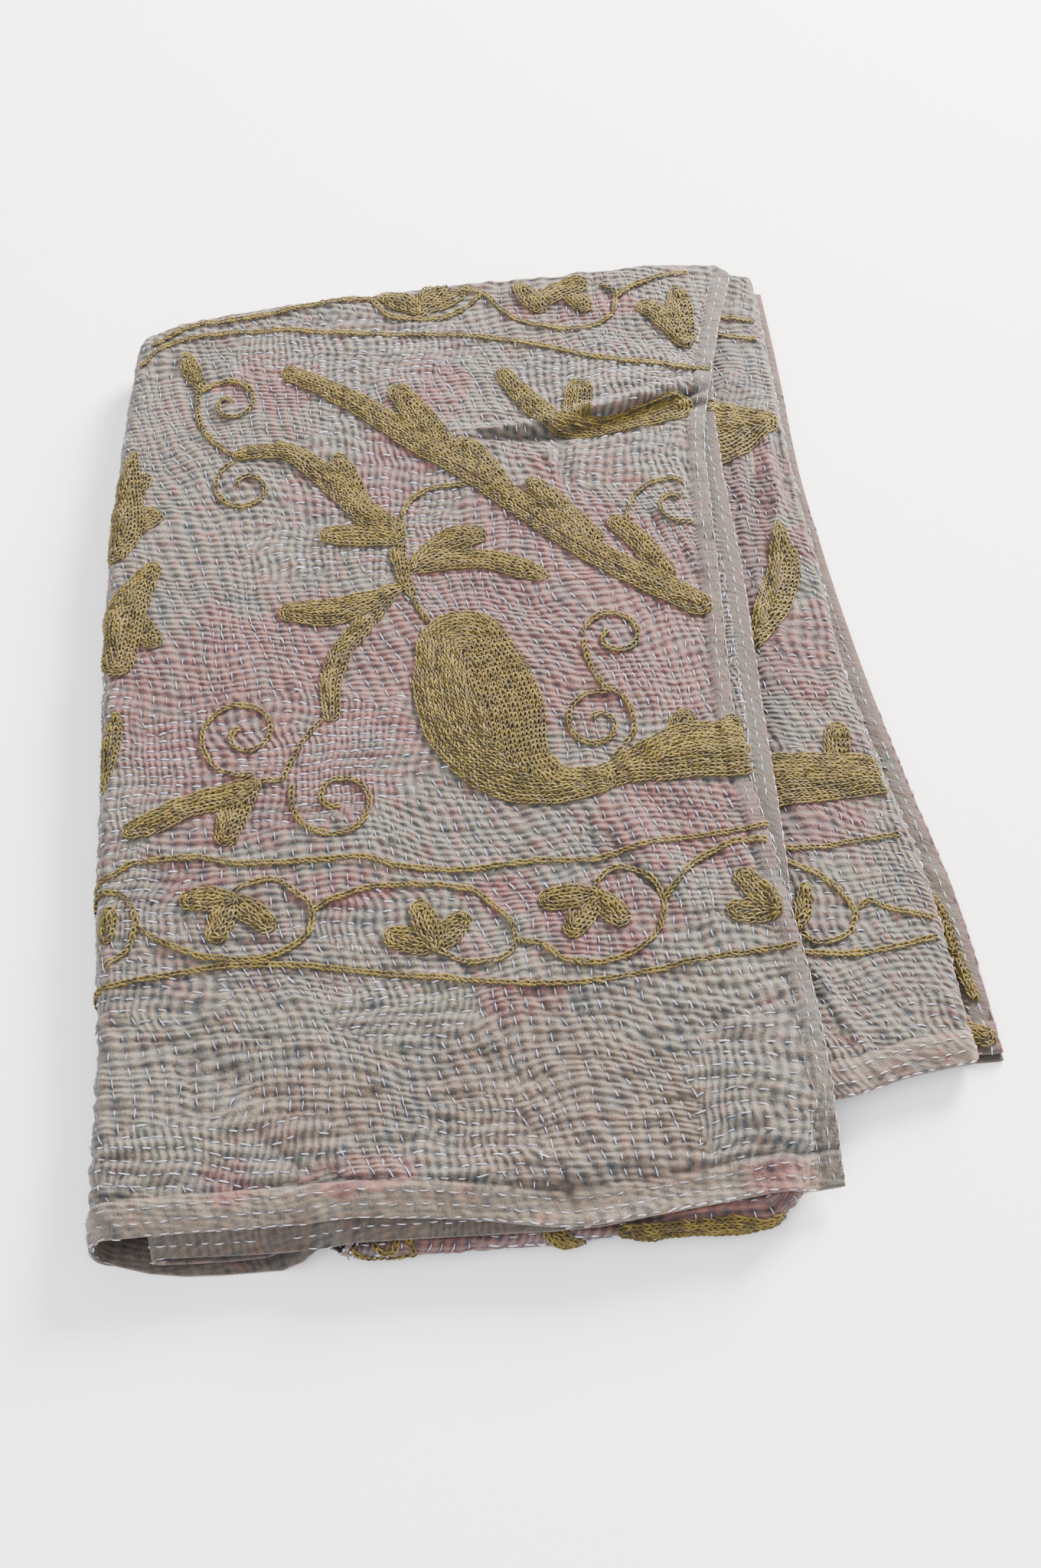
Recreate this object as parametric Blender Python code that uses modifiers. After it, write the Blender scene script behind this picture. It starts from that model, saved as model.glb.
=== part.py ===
"""A hand-quilted cotton throw, folded in half at the back and then back and forth into four runs.

The cloth has two plies in every run: the first ply faces up on the top run, and the second lies under it.
Both are one sheet, joined by the fold at the back. Plan positions are metres from the middle of the pile,
+X to the right, +Y to the back fold and +Z up. The lowest ply lies flat on z = 0.
"""
import math

import bpy

# The cloth, and how far apart its plies lie in the loose left part and the pressed right part of the pile
CLOTH = 0.0022
LOOSE_PLY, PRESSED_PLY = 0.0044, 0.0028
LOOSE_FOLD, PRESSED_FOLD = 0.0044, 0.0036
PRESSED_FROM, PRESSED_TO = 0.10, 0.21
FLOOR_PLY = CLOTH / 2

# How far a fold bulges past its flat part, for the first ply and the second
LEFT_CURL = (0.0100, 0.0070)
RIGHT_FOLD = (0.0018, 0.0046)
INNER_FOLD = (0.0052, 0.0020)

# The pile's sides from the front hem (0) to the back fold (1): the two hems of the top run, the left fold of
# the top run's two plies, the right fold under the top run, the end hem of the lowest run, and the hidden
# left fold of the lower two runs
SIDE_COLUMNS = (
    "way", "top_hem", "second_hem", "left_curl", "inner_curl", "right_fold", "end_hem", "low_fold",
)
SIDES = (
    (0.00, 0.155, 0.140, -0.270, -0.236, 0.244, 0.263, -0.140),
    (0.15, 0.153, 0.144, -0.268, -0.248, 0.239, 0.256, -0.166),
    (0.30, 0.142, 0.150, -0.271, -0.257, 0.224, 0.240, -0.190),
    (0.45, 0.131, 0.151, -0.272, -0.259, 0.210, 0.225, -0.206),
    (0.60, 0.135, 0.152, -0.272, -0.259, 0.204, 0.214, -0.214),
    (0.75, 0.139, 0.150, -0.270, -0.257, 0.199, 0.207, -0.217),
    (0.90, 0.161, 0.157, -0.262, -0.250, 0.198, 0.206, -0.216),
    (1.00, 0.179, 0.172, -0.254, -0.242, 0.197, 0.204, -0.214),
)

# Front hems, as (x, y) along each ply's edge
FRONT_HEMS = {
    "top": ((-0.271, -0.341), (-0.140, -0.340), (-0.068, -0.344), (0.004, -0.353), (0.081, -0.346),
            (0.155, -0.338), (0.180, -0.336)),
    "second": ((-0.271, -0.349), (-0.140, -0.352), (-0.068, -0.353), (0.004, -0.354), (0.060, -0.347),
               (0.110, -0.334), (0.155, -0.322)),
    "third": ((-0.271, -0.349), (-0.190, -0.352), (-0.160, -0.350), (-0.142, -0.342), (-0.112, -0.321),
              (0.000, -0.306), (0.110, -0.291), (0.164, -0.287), (0.205, -0.276), (0.250, -0.270)),
    "fourth": ((-0.271, -0.343), (-0.245, -0.353), (-0.205, -0.358), (-0.158, -0.358), (-0.142, -0.351),
               (-0.128, -0.334), (-0.112, -0.323), (0.000, -0.308), (0.110, -0.290), (0.164, -0.283),
               (0.250, -0.266)),
    "lower": ((-0.150, -0.325), (-0.130, -0.338), (-0.116, -0.346), (0.096, -0.346), (0.122, -0.330),
              (0.136, -0.303), (0.144, -0.276), (0.160, -0.262), (0.210, -0.262), (0.270, -0.262)),
    "lowest": ((-0.152, -0.335), (-0.134, -0.349), (-0.120, -0.357), (0.106, -0.357), (0.131, -0.338),
               (0.142, -0.306), (0.149, -0.278), (0.165, -0.264), (0.215, -0.266), (0.270, -0.266)),
}
HEM_OF = (("top", "second"), ("fourth", "third"), ("lower", "lower"), ("lowest", "lower"))

# Back folds, as (x, y), before the fold's own small radius
BACK_FOLDS = (
    ((-0.275, 0.284), (-0.255, 0.299), (-0.236, 0.318), (-0.200, 0.329), (-0.100, 0.341), (0.000, 0.349),
     (0.100, 0.354), (0.162, 0.359), (0.182, 0.349)),
    ((-0.275, 0.282), (-0.255, 0.297), (-0.236, 0.315), (-0.200, 0.326), (0.000, 0.346), (0.150, 0.356),
     (0.185, 0.357), (0.210, 0.350)),
    ((-0.240, 0.306), (-0.200, 0.323), (0.000, 0.344), (0.150, 0.353), (0.210, 0.347)),
    ((-0.240, 0.308), (-0.200, 0.326), (0.000, 0.347), (0.150, 0.356), (0.210, 0.346)),
)

# The lowest ply's front, turned up round the lower plies and tucked back over them
TURN_UP_LEFT, TURN_UP_RIGHT = (-0.137, -0.118), (0.118, 0.142)
TUCK = 0.018

# Droop of the hems past what carries them, and the stretches in x and in y over which each one sets in
TOP_DROOP, SECOND_DROOP, THIRD_DROOP = 0.003, 0.0066, 0.0035
TOP_DROOP_Y = (-0.322, -0.342)
SECOND_DROOP_X, SECOND_DROOP_Y = (-0.100, -0.190), (-0.331, -0.350)
THIRD_DROOP_X, THIRD_DROOP_REACH = (0.13, 0.17), 0.014

# The top run's front: how far behind the lower hems each pair of plies starts to carry it, how much of the
# lowest pair's height it keeps past them, and where it rides up onto the tucked edge
CARRIED_LOW, CARRIED_UP = (-0.050, -0.003), (-0.045, -0.003)
CORNER_HOLD = 0.55
TUCK_Y = (-0.302, -0.328)

# The second run's climb onto the lower runs' left fold: how far out it starts, at the front and further back,
# the share of the way over which that changes, where it ends, and the height from which it is fully uneven
CLIMB = (0.026, 0.046)
CLIMB_CHANGE, CLIMB_END, CLIMB_FULL = 0.25, 0.003, 0.012

# Main creases and ridges of the upper face; the turn is in degrees
CREASE_COLUMNS = ("x", "y", "half_length", "half_width", "turn", "rise")
CREASES = (
    (0.078, 0.213, 0.066, 0.016, 12, -0.0042),
    (0.080, 0.238, 0.060, 0.017, 14, 0.0022),
    (0.027, 0.165, 0.050, 0.010, 88, 0.0016),
    (0.051, 0.160, 0.046, 0.009, 86, -0.0014),
    (0.071, -0.132, 0.045, 0.014, -58, 0.0026),
    (0.092, -0.122, 0.045, 0.013, -58, -0.0018),
    (-0.222, -0.240, 0.050, 0.015, -22, -0.0022),
    (-0.226, -0.292, 0.052, 0.014, 16, 0.0020),
    (-0.110, -0.197, 0.055, 0.013, 4, -0.0016),
    (-0.004, -0.325, 0.036, 0.013, 80, -0.0022),
    (0.202, 0.140, 0.060, 0.010, 88, 0.0022),
    (0.176, 0.190, 0.050, 0.010, 70, -0.0014),
    (0.166, -0.268, 0.032, 0.010, -60, 0.0016),
)

# Slow unevenness of the pile: waves across and along it, a start for each, and their height
WAVES = (
    (9.0, 4.0, 0.6, 0.0006),
    (-5.0, 11.0, 2.1, 0.0006),
    (17.0, 9.0, 4.0, 0.0004),
    (6.0, -21.0, 1.2, 0.0003),
)

# Share of the unevenness that each ply takes, for the four runs from the top
RELIEF_SHARE = ((1.0, 0.86), (0.62, 0.74), (0.46, 0.34), (0.0, 0.14))

# Stations across each run from its start, along a ply from front hem to back fold, and in the folds
ACROSS = (
    (0.0, 0.05, 0.10, 0.17, 0.25, 0.34, 0.44, 0.55, 0.67, 0.78, 0.90, 1.0),
    (0.0, 0.04, 0.08, 0.12, 0.16, 0.19, 0.215, 0.24, 0.27, 0.32, 0.44, 0.58, 0.72, 0.84, 0.94, 1.0),
    (0.0, 0.10, 0.24, 0.40, 0.56, 0.72, 0.88, 1.0),
    (0.0, 0.014, 0.028, 0.042, 0.058, 0.20, 0.40, 0.57, 0.65, 0.70, 0.75, 0.86, 1.0),
)
ALONG = (0.0, 0.01, 0.02, 0.03, 0.042, 0.06, 0.10, 0.17, 0.25, 0.34, 0.43, 0.52, 0.61, 0.69, 0.75, 0.795,
         0.84, 0.90, 0.95, 0.985, 1.0)
FOLD_STEPS = 5
RUNS = 4


def mix(a, b, t):
    return a + (b - a) * t


def ease(start, end, value):
    """Rises from 0 at start to 1 at end, level at both."""
    t = min(max((value - start) / (end - start), 0.0), 1.0)
    return t * t * (3.0 - 2.0 * t)


def through(points, key):
    """Reads a smooth curve through (key, value) points; its slope is level where the values turn."""
    keys = [p[0] for p in points]
    values = [p[1] for p in points]
    if key <= keys[0]:
        return values[0]
    if key >= keys[-1]:
        return values[-1]
    i = max(j for j in range(len(keys) - 1) if keys[j] <= key)
    spans = [keys[j + 1] - keys[j] for j in range(len(keys) - 1)]
    slopes = [(values[j + 1] - values[j]) / spans[j] for j in range(len(spans))]

    def slope_at(j):
        if j == 0 or j == len(keys) - 1:
            return slopes[min(j, len(slopes) - 1)]
        before, after = slopes[j - 1], slopes[j]
        if before * after <= 0.0:
            return 0.0
        return 2.0 * before * after / (before + after)

    t = (key - keys[i]) / spans[i]
    start_slope, end_slope = slope_at(i) * spans[i], slope_at(i + 1) * spans[i]
    return (values[i] * (1 + 2 * t) * (1 - t) ** 2 + start_slope * t * (1 - t) ** 2
            + values[i + 1] * t * t * (3 - 2 * t) - end_slope * t * t * (1 - t))


def side(name, way):
    column = SIDE_COLUMNS.index(name)
    return through([(row[0], row[column]) for row in SIDES], way)


def run_ends(run, ply, way):
    """The x where a run's flat part starts and ends, in the order in which the cloth passes."""
    if run == 0:
        hem = side(("top_hem", "second_hem")[ply], way)
        return hem, side(("left_curl", "inner_curl")[ply], way) + LEFT_CURL[ply]
    right = side("right_fold", way) - RIGHT_FOLD[1]
    if run == 1:
        return side(("left_curl", "inner_curl")[ply], way) + LEFT_CURL[ply], right
    low = side("low_fold", way) + INNER_FOLD[0]
    if run == 2:
        return right, low
    return low, side("end_hem", way)


def ply_gap(x):
    return mix(LOOSE_PLY, PRESSED_PLY, ease(PRESSED_FROM, PRESSED_TO, x))


def fold_gap(x):
    return mix(LOOSE_FOLD, PRESSED_FOLD, ease(PRESSED_FROM, PRESSED_TO, x))


def front(name, x):
    return through(FRONT_HEMS[name], x)


def relief(x, y):
    """Height of the creases and of the slow unevenness."""
    rise = sum(height * math.sin(across * math.pi * x + along * math.pi * y + start)
               for across, along, start, height in WAVES)
    for row in CREASES:
        crease = dict(zip(CREASE_COLUMNS, row))
        turn = math.radians(crease["turn"])
        c, s = math.cos(turn), math.sin(turn)
        u = ((x - crease["x"]) * c + (y - crease["y"]) * s) / crease["half_length"]
        w = ((y - crease["y"]) * c - (x - crease["x"]) * s) / crease["half_width"]
        rise += crease["rise"] * math.exp(-u * u - w * w)
    return rise


def turned_share(x):
    """1 where the lowest ply's front is fully turned up, 0 beside that stretch."""
    return ease(*TURN_UP_LEFT, x) * ease(TURN_UP_RIGHT[1], TURN_UP_RIGHT[0], x)


def height(run, ply, x, y, way):
    """Middle of a ply above the floor, from what lies under it there."""
    a, b = ply_gap(x), fold_gap(x)
    lifted = RELIEF_SHARE[run][ply] * relief(x, y)
    if run == 3:
        return FLOOR_PLY + (a if ply else 0.0) + lifted
    if run == 2:
        return FLOOR_PLY + a + b + (0.0 if ply else a) + lifted
    if run == 1:
        low = side("low_fold", way)
        climb_start = low - mix(*CLIMB, ease(0.0, CLIMB_CHANGE, way))
        climbed = 2 * (a + b) * ease(climb_start, low - CLIMB_END, x)
        edge = front("third", x)
        droop = THIRD_DROOP * ease(*THIRD_DROOP_X, x) * ease(edge + THIRD_DROOP_REACH, edge, y)
        return FLOOR_PLY + climbed + (a if ply else 0.0) - droop + lifted * ease(0.0, CLIMB_FULL, climbed)
    carried_low = max(CORNER_HOLD, ease(*CARRIED_LOW, y - front("lower", x)))
    carried_up = ease(*CARRIED_UP, y - front("third", x))
    tuck = ease(*TUCK_Y, y) * turned_share(x)
    z = FLOOR_PLY + 2 * (a + b) * carried_low + (a + b) * carried_up + b * tuck + lifted
    if ply:
        return z - SECOND_DROOP * ease(*SECOND_DROOP_X, x) * ease(*SECOND_DROOP_Y, y)
    return z + a - TOP_DROOP * ease(*TOP_DROOP_Y, y)


def turned_up(x, way):
    """The lowest ply: flat from the back, then up round the front and back over the plies above it."""
    share = turned_share(x)
    radius = ply_gap(x) + fold_gap(x)
    angle = math.pi * share
    foremost = front("lowest", x)
    turn_y = foremost + radius * math.sin(min(angle, math.pi / 2))
    back_y = through(BACK_FOLDS[3], x)
    flat_length = back_y - turn_y
    gone = (1.0 - way) * (flat_length + radius * angle + TUCK * share)
    if gone <= flat_length:
        return back_y - gone, FLOOR_PLY
    gone -= flat_length
    turned = min(gone / radius, angle)
    straight = gone - radius * turned
    y = turn_y - radius * math.sin(turned) - straight * math.cos(turned)
    z = FLOOR_PLY + radius * (1.0 - math.cos(turned)) + straight * math.sin(turned)
    return y, z


def flat_point(run, ply, across, way):
    start, end = run_ends(run, ply, way)
    x = mix(start, end, across)
    if run == 3 and ply == 0:
        y, z = turned_up(x, way)
        return (x, y, z)
    y = mix(front(HEM_OF[run][ply], x), through(BACK_FOLDS[run], x), way)
    return (x, y, height(run, ply, x, y, way))


def fold_point(run, ply, turn, way):
    """A point on the fold that joins a run to the next one under it; turn goes from 0 to 1."""
    above = flat_point(run, ply, 1.0, way)
    below = flat_point(run + 1, ply, 0.0, way)
    bulge = (-LEFT_CURL[ply], RIGHT_FOLD[ply], -INNER_FOLD[ply])[run]
    c, s = math.cos(math.pi * turn), math.sin(math.pi * turn)
    x, y, z = (mix(above[i], below[i], (1.0 - c) / 2) for i in range(3))
    return (x + bulge * s, y, z)


def ply_point(station, ply, way):
    kind, run, share = station
    return (flat_point if kind == "run" else fold_point)(run, ply, share, way)


def back_turn(first, second, turn):
    """A point on the round fold between the two plies' back ends; turn goes from 0 to 1."""
    c, s = math.cos(math.pi * turn), math.sin(math.pi * turn)
    middle = [(p + q) / 2 for p, q in zip(first, second)]
    half = [(p - q) / 2 for p, q in zip(first, second)]
    reach = math.sqrt(sum(h * h for h in half))
    return (middle[0] + half[0] * c, middle[1] + half[1] * c + reach * s, middle[2] + half[2] * c)


def stations():
    """Every column of the cloth, from the top run's hem to the lowest run's hem."""
    found = []
    for run in range(RUNS):
        found += [("run", run, share) for share in ACROSS[run]]
        if run < RUNS - 1:
            found += [("fold", run, step / FOLD_STEPS) for step in range(1, FOLD_STEPS)]
    return found


def column(station):
    """The points down one column: first ply from its hem to the back, the fold, second ply to its hem."""
    first = [ply_point(station, 0, way) for way in ALONG]
    second = [ply_point(station, 1, way) for way in reversed(ALONG)]
    turn = [back_turn(first[-1], second[0], step / FOLD_STEPS) for step in range(1, FOLD_STEPS)]
    return first + turn + second


def cloth_material():
    """Washed cotton, grey green with a hint of rose."""
    material = bpy.data.materials.new("washed_cotton")
    material.use_nodes = True
    shader = material.node_tree.nodes["Principled BSDF"]
    shader.inputs["Base Color"].default_value = (0.27, 0.26, 0.24, 1.0)
    shader.inputs["Roughness"].default_value = 0.9
    shader.inputs["Metallic"].default_value = 0.0
    return material


def make_quilt(collection):
    columns = [column(station) for station in stations()]
    rows = len(columns[0])
    points = [point for line in columns for point in line]
    faces = [(i * rows + j, i * rows + j + 1, (i + 1) * rows + j + 1, (i + 1) * rows + j)
             for i in range(len(columns) - 1) for j in range(rows - 1)]
    middle_x = (min(p[0] for p in points) + max(p[0] for p in points)) / 2
    middle_y = (min(p[1] for p in points) + max(p[1] for p in points)) / 2
    mesh = bpy.data.meshes.new("quilt")
    mesh.from_pydata([(x - middle_x, y - middle_y, z) for x, y, z in points], [], faces)
    mesh.shade_smooth()
    mesh.materials.append(cloth_material())
    quilt = bpy.data.objects.new("quilt", mesh)
    wall = quilt.modifiers.new("cloth thickness", "SOLIDIFY")
    wall.thickness = CLOTH
    wall.offset = 0.0
    collection.objects.link(quilt)
    return quilt


def main():
    for thing in list(bpy.data.objects):
        bpy.data.objects.remove(thing)
    collection = bpy.data.collections.new("kantha_quilt")
    bpy.context.scene.collection.children.link(collection)
    make_quilt(collection)


main()
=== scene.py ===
import math

import bpy
import numpy as np
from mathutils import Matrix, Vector
from mathutils.kdtree import KDTree


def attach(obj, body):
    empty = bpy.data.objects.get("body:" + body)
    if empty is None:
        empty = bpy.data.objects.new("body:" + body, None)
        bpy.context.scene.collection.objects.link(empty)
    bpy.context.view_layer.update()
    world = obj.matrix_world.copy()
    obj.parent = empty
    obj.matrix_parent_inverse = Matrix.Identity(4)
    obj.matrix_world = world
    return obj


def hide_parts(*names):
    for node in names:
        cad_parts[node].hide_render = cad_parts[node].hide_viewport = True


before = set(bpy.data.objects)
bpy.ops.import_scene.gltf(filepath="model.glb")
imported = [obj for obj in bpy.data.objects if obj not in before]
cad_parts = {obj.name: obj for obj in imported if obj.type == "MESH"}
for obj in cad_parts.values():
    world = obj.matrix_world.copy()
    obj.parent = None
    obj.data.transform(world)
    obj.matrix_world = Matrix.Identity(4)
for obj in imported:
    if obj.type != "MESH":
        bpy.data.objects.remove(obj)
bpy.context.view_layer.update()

# The folded shape, as the part's solid has it: cloth and gaps
CLOTH = 0.0022
LOOSE_PLY, PRESSED_PLY = 0.0044, 0.0028
LOOSE_FOLD, PRESSED_FOLD = 0.0044, 0.0036
PRESSED_FROM, PRESSED_TO = 0.10, 0.21
FLOOR_PLY = CLOTH / 2
LEFT_CURL = (0.0100, 0.0070)
RIGHT_FOLD = (0.0018, 0.0046)
INNER_FOLD = (0.0052, 0.0020)

# The pile's sides from the front hem (0) to the back fold (1)
SIDE_COLUMNS = ("way", "top_hem", "second_hem", "left_curl", "inner_curl", "right_fold", "end_hem",
                "low_fold")
SIDES = (
    (0.00, 0.155, 0.140, -0.270, -0.236, 0.244, 0.263, -0.140),
    (0.15, 0.153, 0.144, -0.268, -0.248, 0.239, 0.256, -0.166),
    (0.30, 0.142, 0.150, -0.271, -0.257, 0.224, 0.240, -0.190),
    (0.45, 0.131, 0.151, -0.272, -0.259, 0.210, 0.225, -0.206),
    (0.60, 0.135, 0.152, -0.272, -0.259, 0.204, 0.214, -0.214),
    (0.75, 0.139, 0.150, -0.270, -0.257, 0.199, 0.207, -0.217),
    (0.90, 0.161, 0.157, -0.262, -0.250, 0.198, 0.206, -0.216),
    (1.00, 0.179, 0.172, -0.254, -0.242, 0.197, 0.204, -0.214),
)

# Front hems, as (x, y) along each ply's edge
FRONT_HEMS = {
    "top": ((-0.271, -0.341), (-0.140, -0.340), (-0.068, -0.344), (0.004, -0.353), (0.081, -0.346),
            (0.155, -0.338), (0.180, -0.336)),
    "second": ((-0.271, -0.349), (-0.140, -0.352), (-0.068, -0.353), (0.004, -0.354), (0.060, -0.347),
               (0.110, -0.334), (0.155, -0.322)),
    "third": ((-0.271, -0.349), (-0.190, -0.352), (-0.160, -0.350), (-0.142, -0.342), (-0.112, -0.321),
              (0.000, -0.306), (0.110, -0.291), (0.164, -0.287), (0.205, -0.276), (0.250, -0.270)),
    "fourth": ((-0.271, -0.343), (-0.245, -0.353), (-0.205, -0.358), (-0.158, -0.358), (-0.142, -0.351),
               (-0.128, -0.334), (-0.112, -0.323), (0.000, -0.308), (0.110, -0.290), (0.164, -0.283),
               (0.250, -0.266)),
    "lower": ((-0.150, -0.325), (-0.130, -0.338), (-0.116, -0.346), (0.096, -0.346), (0.122, -0.330),
              (0.136, -0.303), (0.144, -0.276), (0.160, -0.262), (0.210, -0.262), (0.270, -0.262)),
    "lowest": ((-0.152, -0.335), (-0.134, -0.349), (-0.120, -0.357), (0.106, -0.357), (0.131, -0.338),
               (0.142, -0.306), (0.149, -0.278), (0.165, -0.264), (0.215, -0.266), (0.270, -0.266)),
}
HEM_OF = (("top", "second"), ("fourth", "third"), ("lower", "lower"), ("lowest", "lower"))

# Back folds, as (x, y), before the fold's own small radius
BACK_FOLDS = (
    ((-0.275, 0.284), (-0.255, 0.299), (-0.236, 0.318), (-0.200, 0.329), (-0.100, 0.341), (0.000, 0.349),
     (0.100, 0.354), (0.162, 0.359), (0.182, 0.349)),
    ((-0.275, 0.282), (-0.255, 0.297), (-0.236, 0.315), (-0.200, 0.326), (0.000, 0.346), (0.150, 0.356),
     (0.185, 0.357), (0.210, 0.350)),
    ((-0.240, 0.306), (-0.200, 0.323), (0.000, 0.344), (0.150, 0.353), (0.210, 0.347)),
    ((-0.240, 0.308), (-0.200, 0.326), (0.000, 0.347), (0.150, 0.356), (0.210, 0.346)),
)
TURN_UP_LEFT, TURN_UP_RIGHT = (-0.137, -0.118), (0.118, 0.142)
TUCK = 0.018
# How far a hem that nothing carries droops, and where
TOP_DROOP, SECOND_DROOP, THIRD_DROOP = 0.003, 0.0066, 0.0035
TOP_DROOP_Y = (-0.322, -0.342)
SECOND_DROOP_X, SECOND_DROOP_Y = (-0.100, -0.190), (-0.331, -0.350)
THIRD_DROOP_X, THIRD_DROOP_REACH = (0.13, 0.17), 0.014
# Where the plies over the low and the upper run are carried, and where the turned-up front lifts them
CARRIED_LOW, CARRIED_UP = (-0.050, -0.003), (-0.045, -0.003)
CORNER_HOLD = 0.55
TUCK_Y = (-0.302, -0.328)
# Where the second run climbs over the low fold
CLIMB = (0.026, 0.046)
CLIMB_CHANGE, CLIMB_END, CLIMB_FULL = 0.25, 0.003, 0.012

# Main creases and ridges of the upper face: middle, half length, half width, turn in degrees, rise
CREASES = (
    (0.078, 0.213, 0.066, 0.016, 12, -0.0042),
    (0.080, 0.238, 0.060, 0.017, 14, 0.0022),
    (0.027, 0.165, 0.050, 0.010, 88, 0.0016),
    (0.051, 0.160, 0.046, 0.009, 86, -0.0014),
    (0.071, -0.132, 0.045, 0.014, -58, 0.0026),
    (0.092, -0.122, 0.045, 0.013, -58, -0.0018),
    (-0.222, -0.240, 0.050, 0.015, -22, -0.0022),
    (-0.226, -0.292, 0.052, 0.014, 16, 0.0020),
    (-0.110, -0.197, 0.055, 0.013, 4, -0.0016),
    (-0.004, -0.325, 0.036, 0.013, 80, -0.0022),
    (0.202, 0.140, 0.060, 0.010, 88, 0.0022),
    (0.176, 0.190, 0.050, 0.010, 70, -0.0014),
    (0.166, -0.268, 0.032, 0.010, -60, 0.0016),
)
# Slow waves: half turns a metre across and along, start, and height
WAVES = (
    (9.0, 4.0, 0.6, 0.0006),
    (-5.0, 11.0, 2.1, 0.0006),
    (17.0, 9.0, 4.0, 0.0004),
    (6.0, -21.0, 1.2, 0.0003),
)
RELIEF_SHARE = ((1.0, 0.86), (0.62, 0.74), (0.46, 0.34), (0.0, 0.14))
ACROSS = (
    (0.0, 0.05, 0.10, 0.17, 0.25, 0.34, 0.44, 0.55, 0.67, 0.78, 0.90, 1.0),
    (0.0, 0.04, 0.08, 0.12, 0.16, 0.19, 0.215, 0.24, 0.27, 0.32, 0.44, 0.58, 0.72, 0.84, 0.94, 1.0),
    (0.0, 0.10, 0.24, 0.40, 0.56, 0.72, 0.88, 1.0),
    (0.0, 0.014, 0.028, 0.042, 0.058, 0.20, 0.40, 0.57, 0.65, 0.70, 0.75, 0.86, 1.0),
)
ALONG = (0.0, 0.01, 0.02, 0.03, 0.042, 0.06, 0.10, 0.17, 0.25, 0.34, 0.43, 0.52, 0.61, 0.69, 0.75, 0.795,
         0.84, 0.90, 0.95, 0.985, 1.0)
FOLD_STEPS = 5
RUNS = 4

# The mesh: longest cell of the parts that show, across and along, for the top run's ply and for the others
FINE_ACROSS = (0.0030, 0.0037)
FINE_ALONG = (0.0022, 0.0034)
PLY_LENGTH = 0.69
RUN_WIDTH = (0.44, 0.47, 0.34, 0.40)
FOLD_CELLS, TURN_CELLS = (3, 2, 1), 2
SEEN_FROM = 0.72


def mix(a, b, t):
    return a + (b - a) * t


def unit(vectors):
    return vectors / np.maximum(np.linalg.norm(vectors, axis=-1, keepdims=True), 1e-12)


def ease(start, end, value):
    """Rises from 0 at start to 1 at end, level at both."""
    t = np.clip((value - start) / (end - start), 0.0, 1.0)
    return t * t * (3.0 - 2.0 * t)


def through(points, key):
    """Reads a smooth curve through (key, value) points; its slope is level where the values turn."""
    keys, values = np.array(points, float).T
    spans = np.diff(keys)
    slopes = np.diff(values) / spans
    before, after = slopes[:-1], slopes[1:]
    same_way = before * after > 0.0
    inner = np.where(same_way, 2.0 * before * after / np.where(same_way, before + after, 1.0), 0.0)
    slope = np.concatenate(([slopes[0]], inner, [slopes[-1]]))
    at = np.clip(key, keys[0], keys[-1])
    i = np.clip(np.searchsorted(keys, at, side="right") - 1, 0, len(spans) - 1)
    t = (at - keys[i]) / spans[i]
    return (values[i] * (1 + 2 * t) * (1 - t) ** 2 + slope[i] * spans[i] * t * (1 - t) ** 2
            + values[i + 1] * t * t * (3 - 2 * t) - slope[i + 1] * spans[i] * t * t * (1 - t))


def side(name, way):
    column = SIDE_COLUMNS.index(name)
    return through([(row[0], row[column]) for row in SIDES], way)


def run_ends(run, ply, way):
    """The x where a run's flat part starts and ends, in the order in which the cloth passes."""
    left = side(("left_curl", "inner_curl")[ply], way) + LEFT_CURL[ply]
    right = side("right_fold", way) - RIGHT_FOLD[1]
    low = side("low_fold", way) + INNER_FOLD[0]
    return ((side(("top_hem", "second_hem")[ply], way), left), (left, right), (right, low),
            (low, side("end_hem", way)))[run]


def ply_gap(x):
    return mix(LOOSE_PLY, PRESSED_PLY, ease(PRESSED_FROM, PRESSED_TO, x))


def fold_gap(x):
    return mix(LOOSE_FOLD, PRESSED_FOLD, ease(PRESSED_FROM, PRESSED_TO, x))


def front(name, x):
    return through(FRONT_HEMS[name], x)


def relief(x, y):
    """Height of the creases and of the slow unevenness."""
    rise = sum(height * np.sin(across * np.pi * x + along * np.pi * y + start)
               for across, along, start, height in WAVES)
    return rise + creased(CREASES, x, y)


def creased(creases, x, y, lip=0.0):
    """Height of a list of creases, each a soft ridge or trough; a lip turns the other way beside it."""
    rise = 0.0
    for cx, cy, half_length, half_width, turn, crease in creases:
        c, s = math.cos(math.radians(turn)), math.sin(math.radians(turn))
        u = ((x - cx) * c + (y - cy) * s) / half_length
        w = ((y - cy) * c - (x - cx) * s) / half_width
        rise = rise + crease * np.exp(-u * u - w * w) * (1.0 - lip * w * w)
    return rise


def turned_share(x):
    """1 where the lowest ply's front is fully turned up, 0 beside that stretch."""
    return ease(*TURN_UP_LEFT, x) * ease(TURN_UP_RIGHT[1], TURN_UP_RIGHT[0], x)


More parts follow.
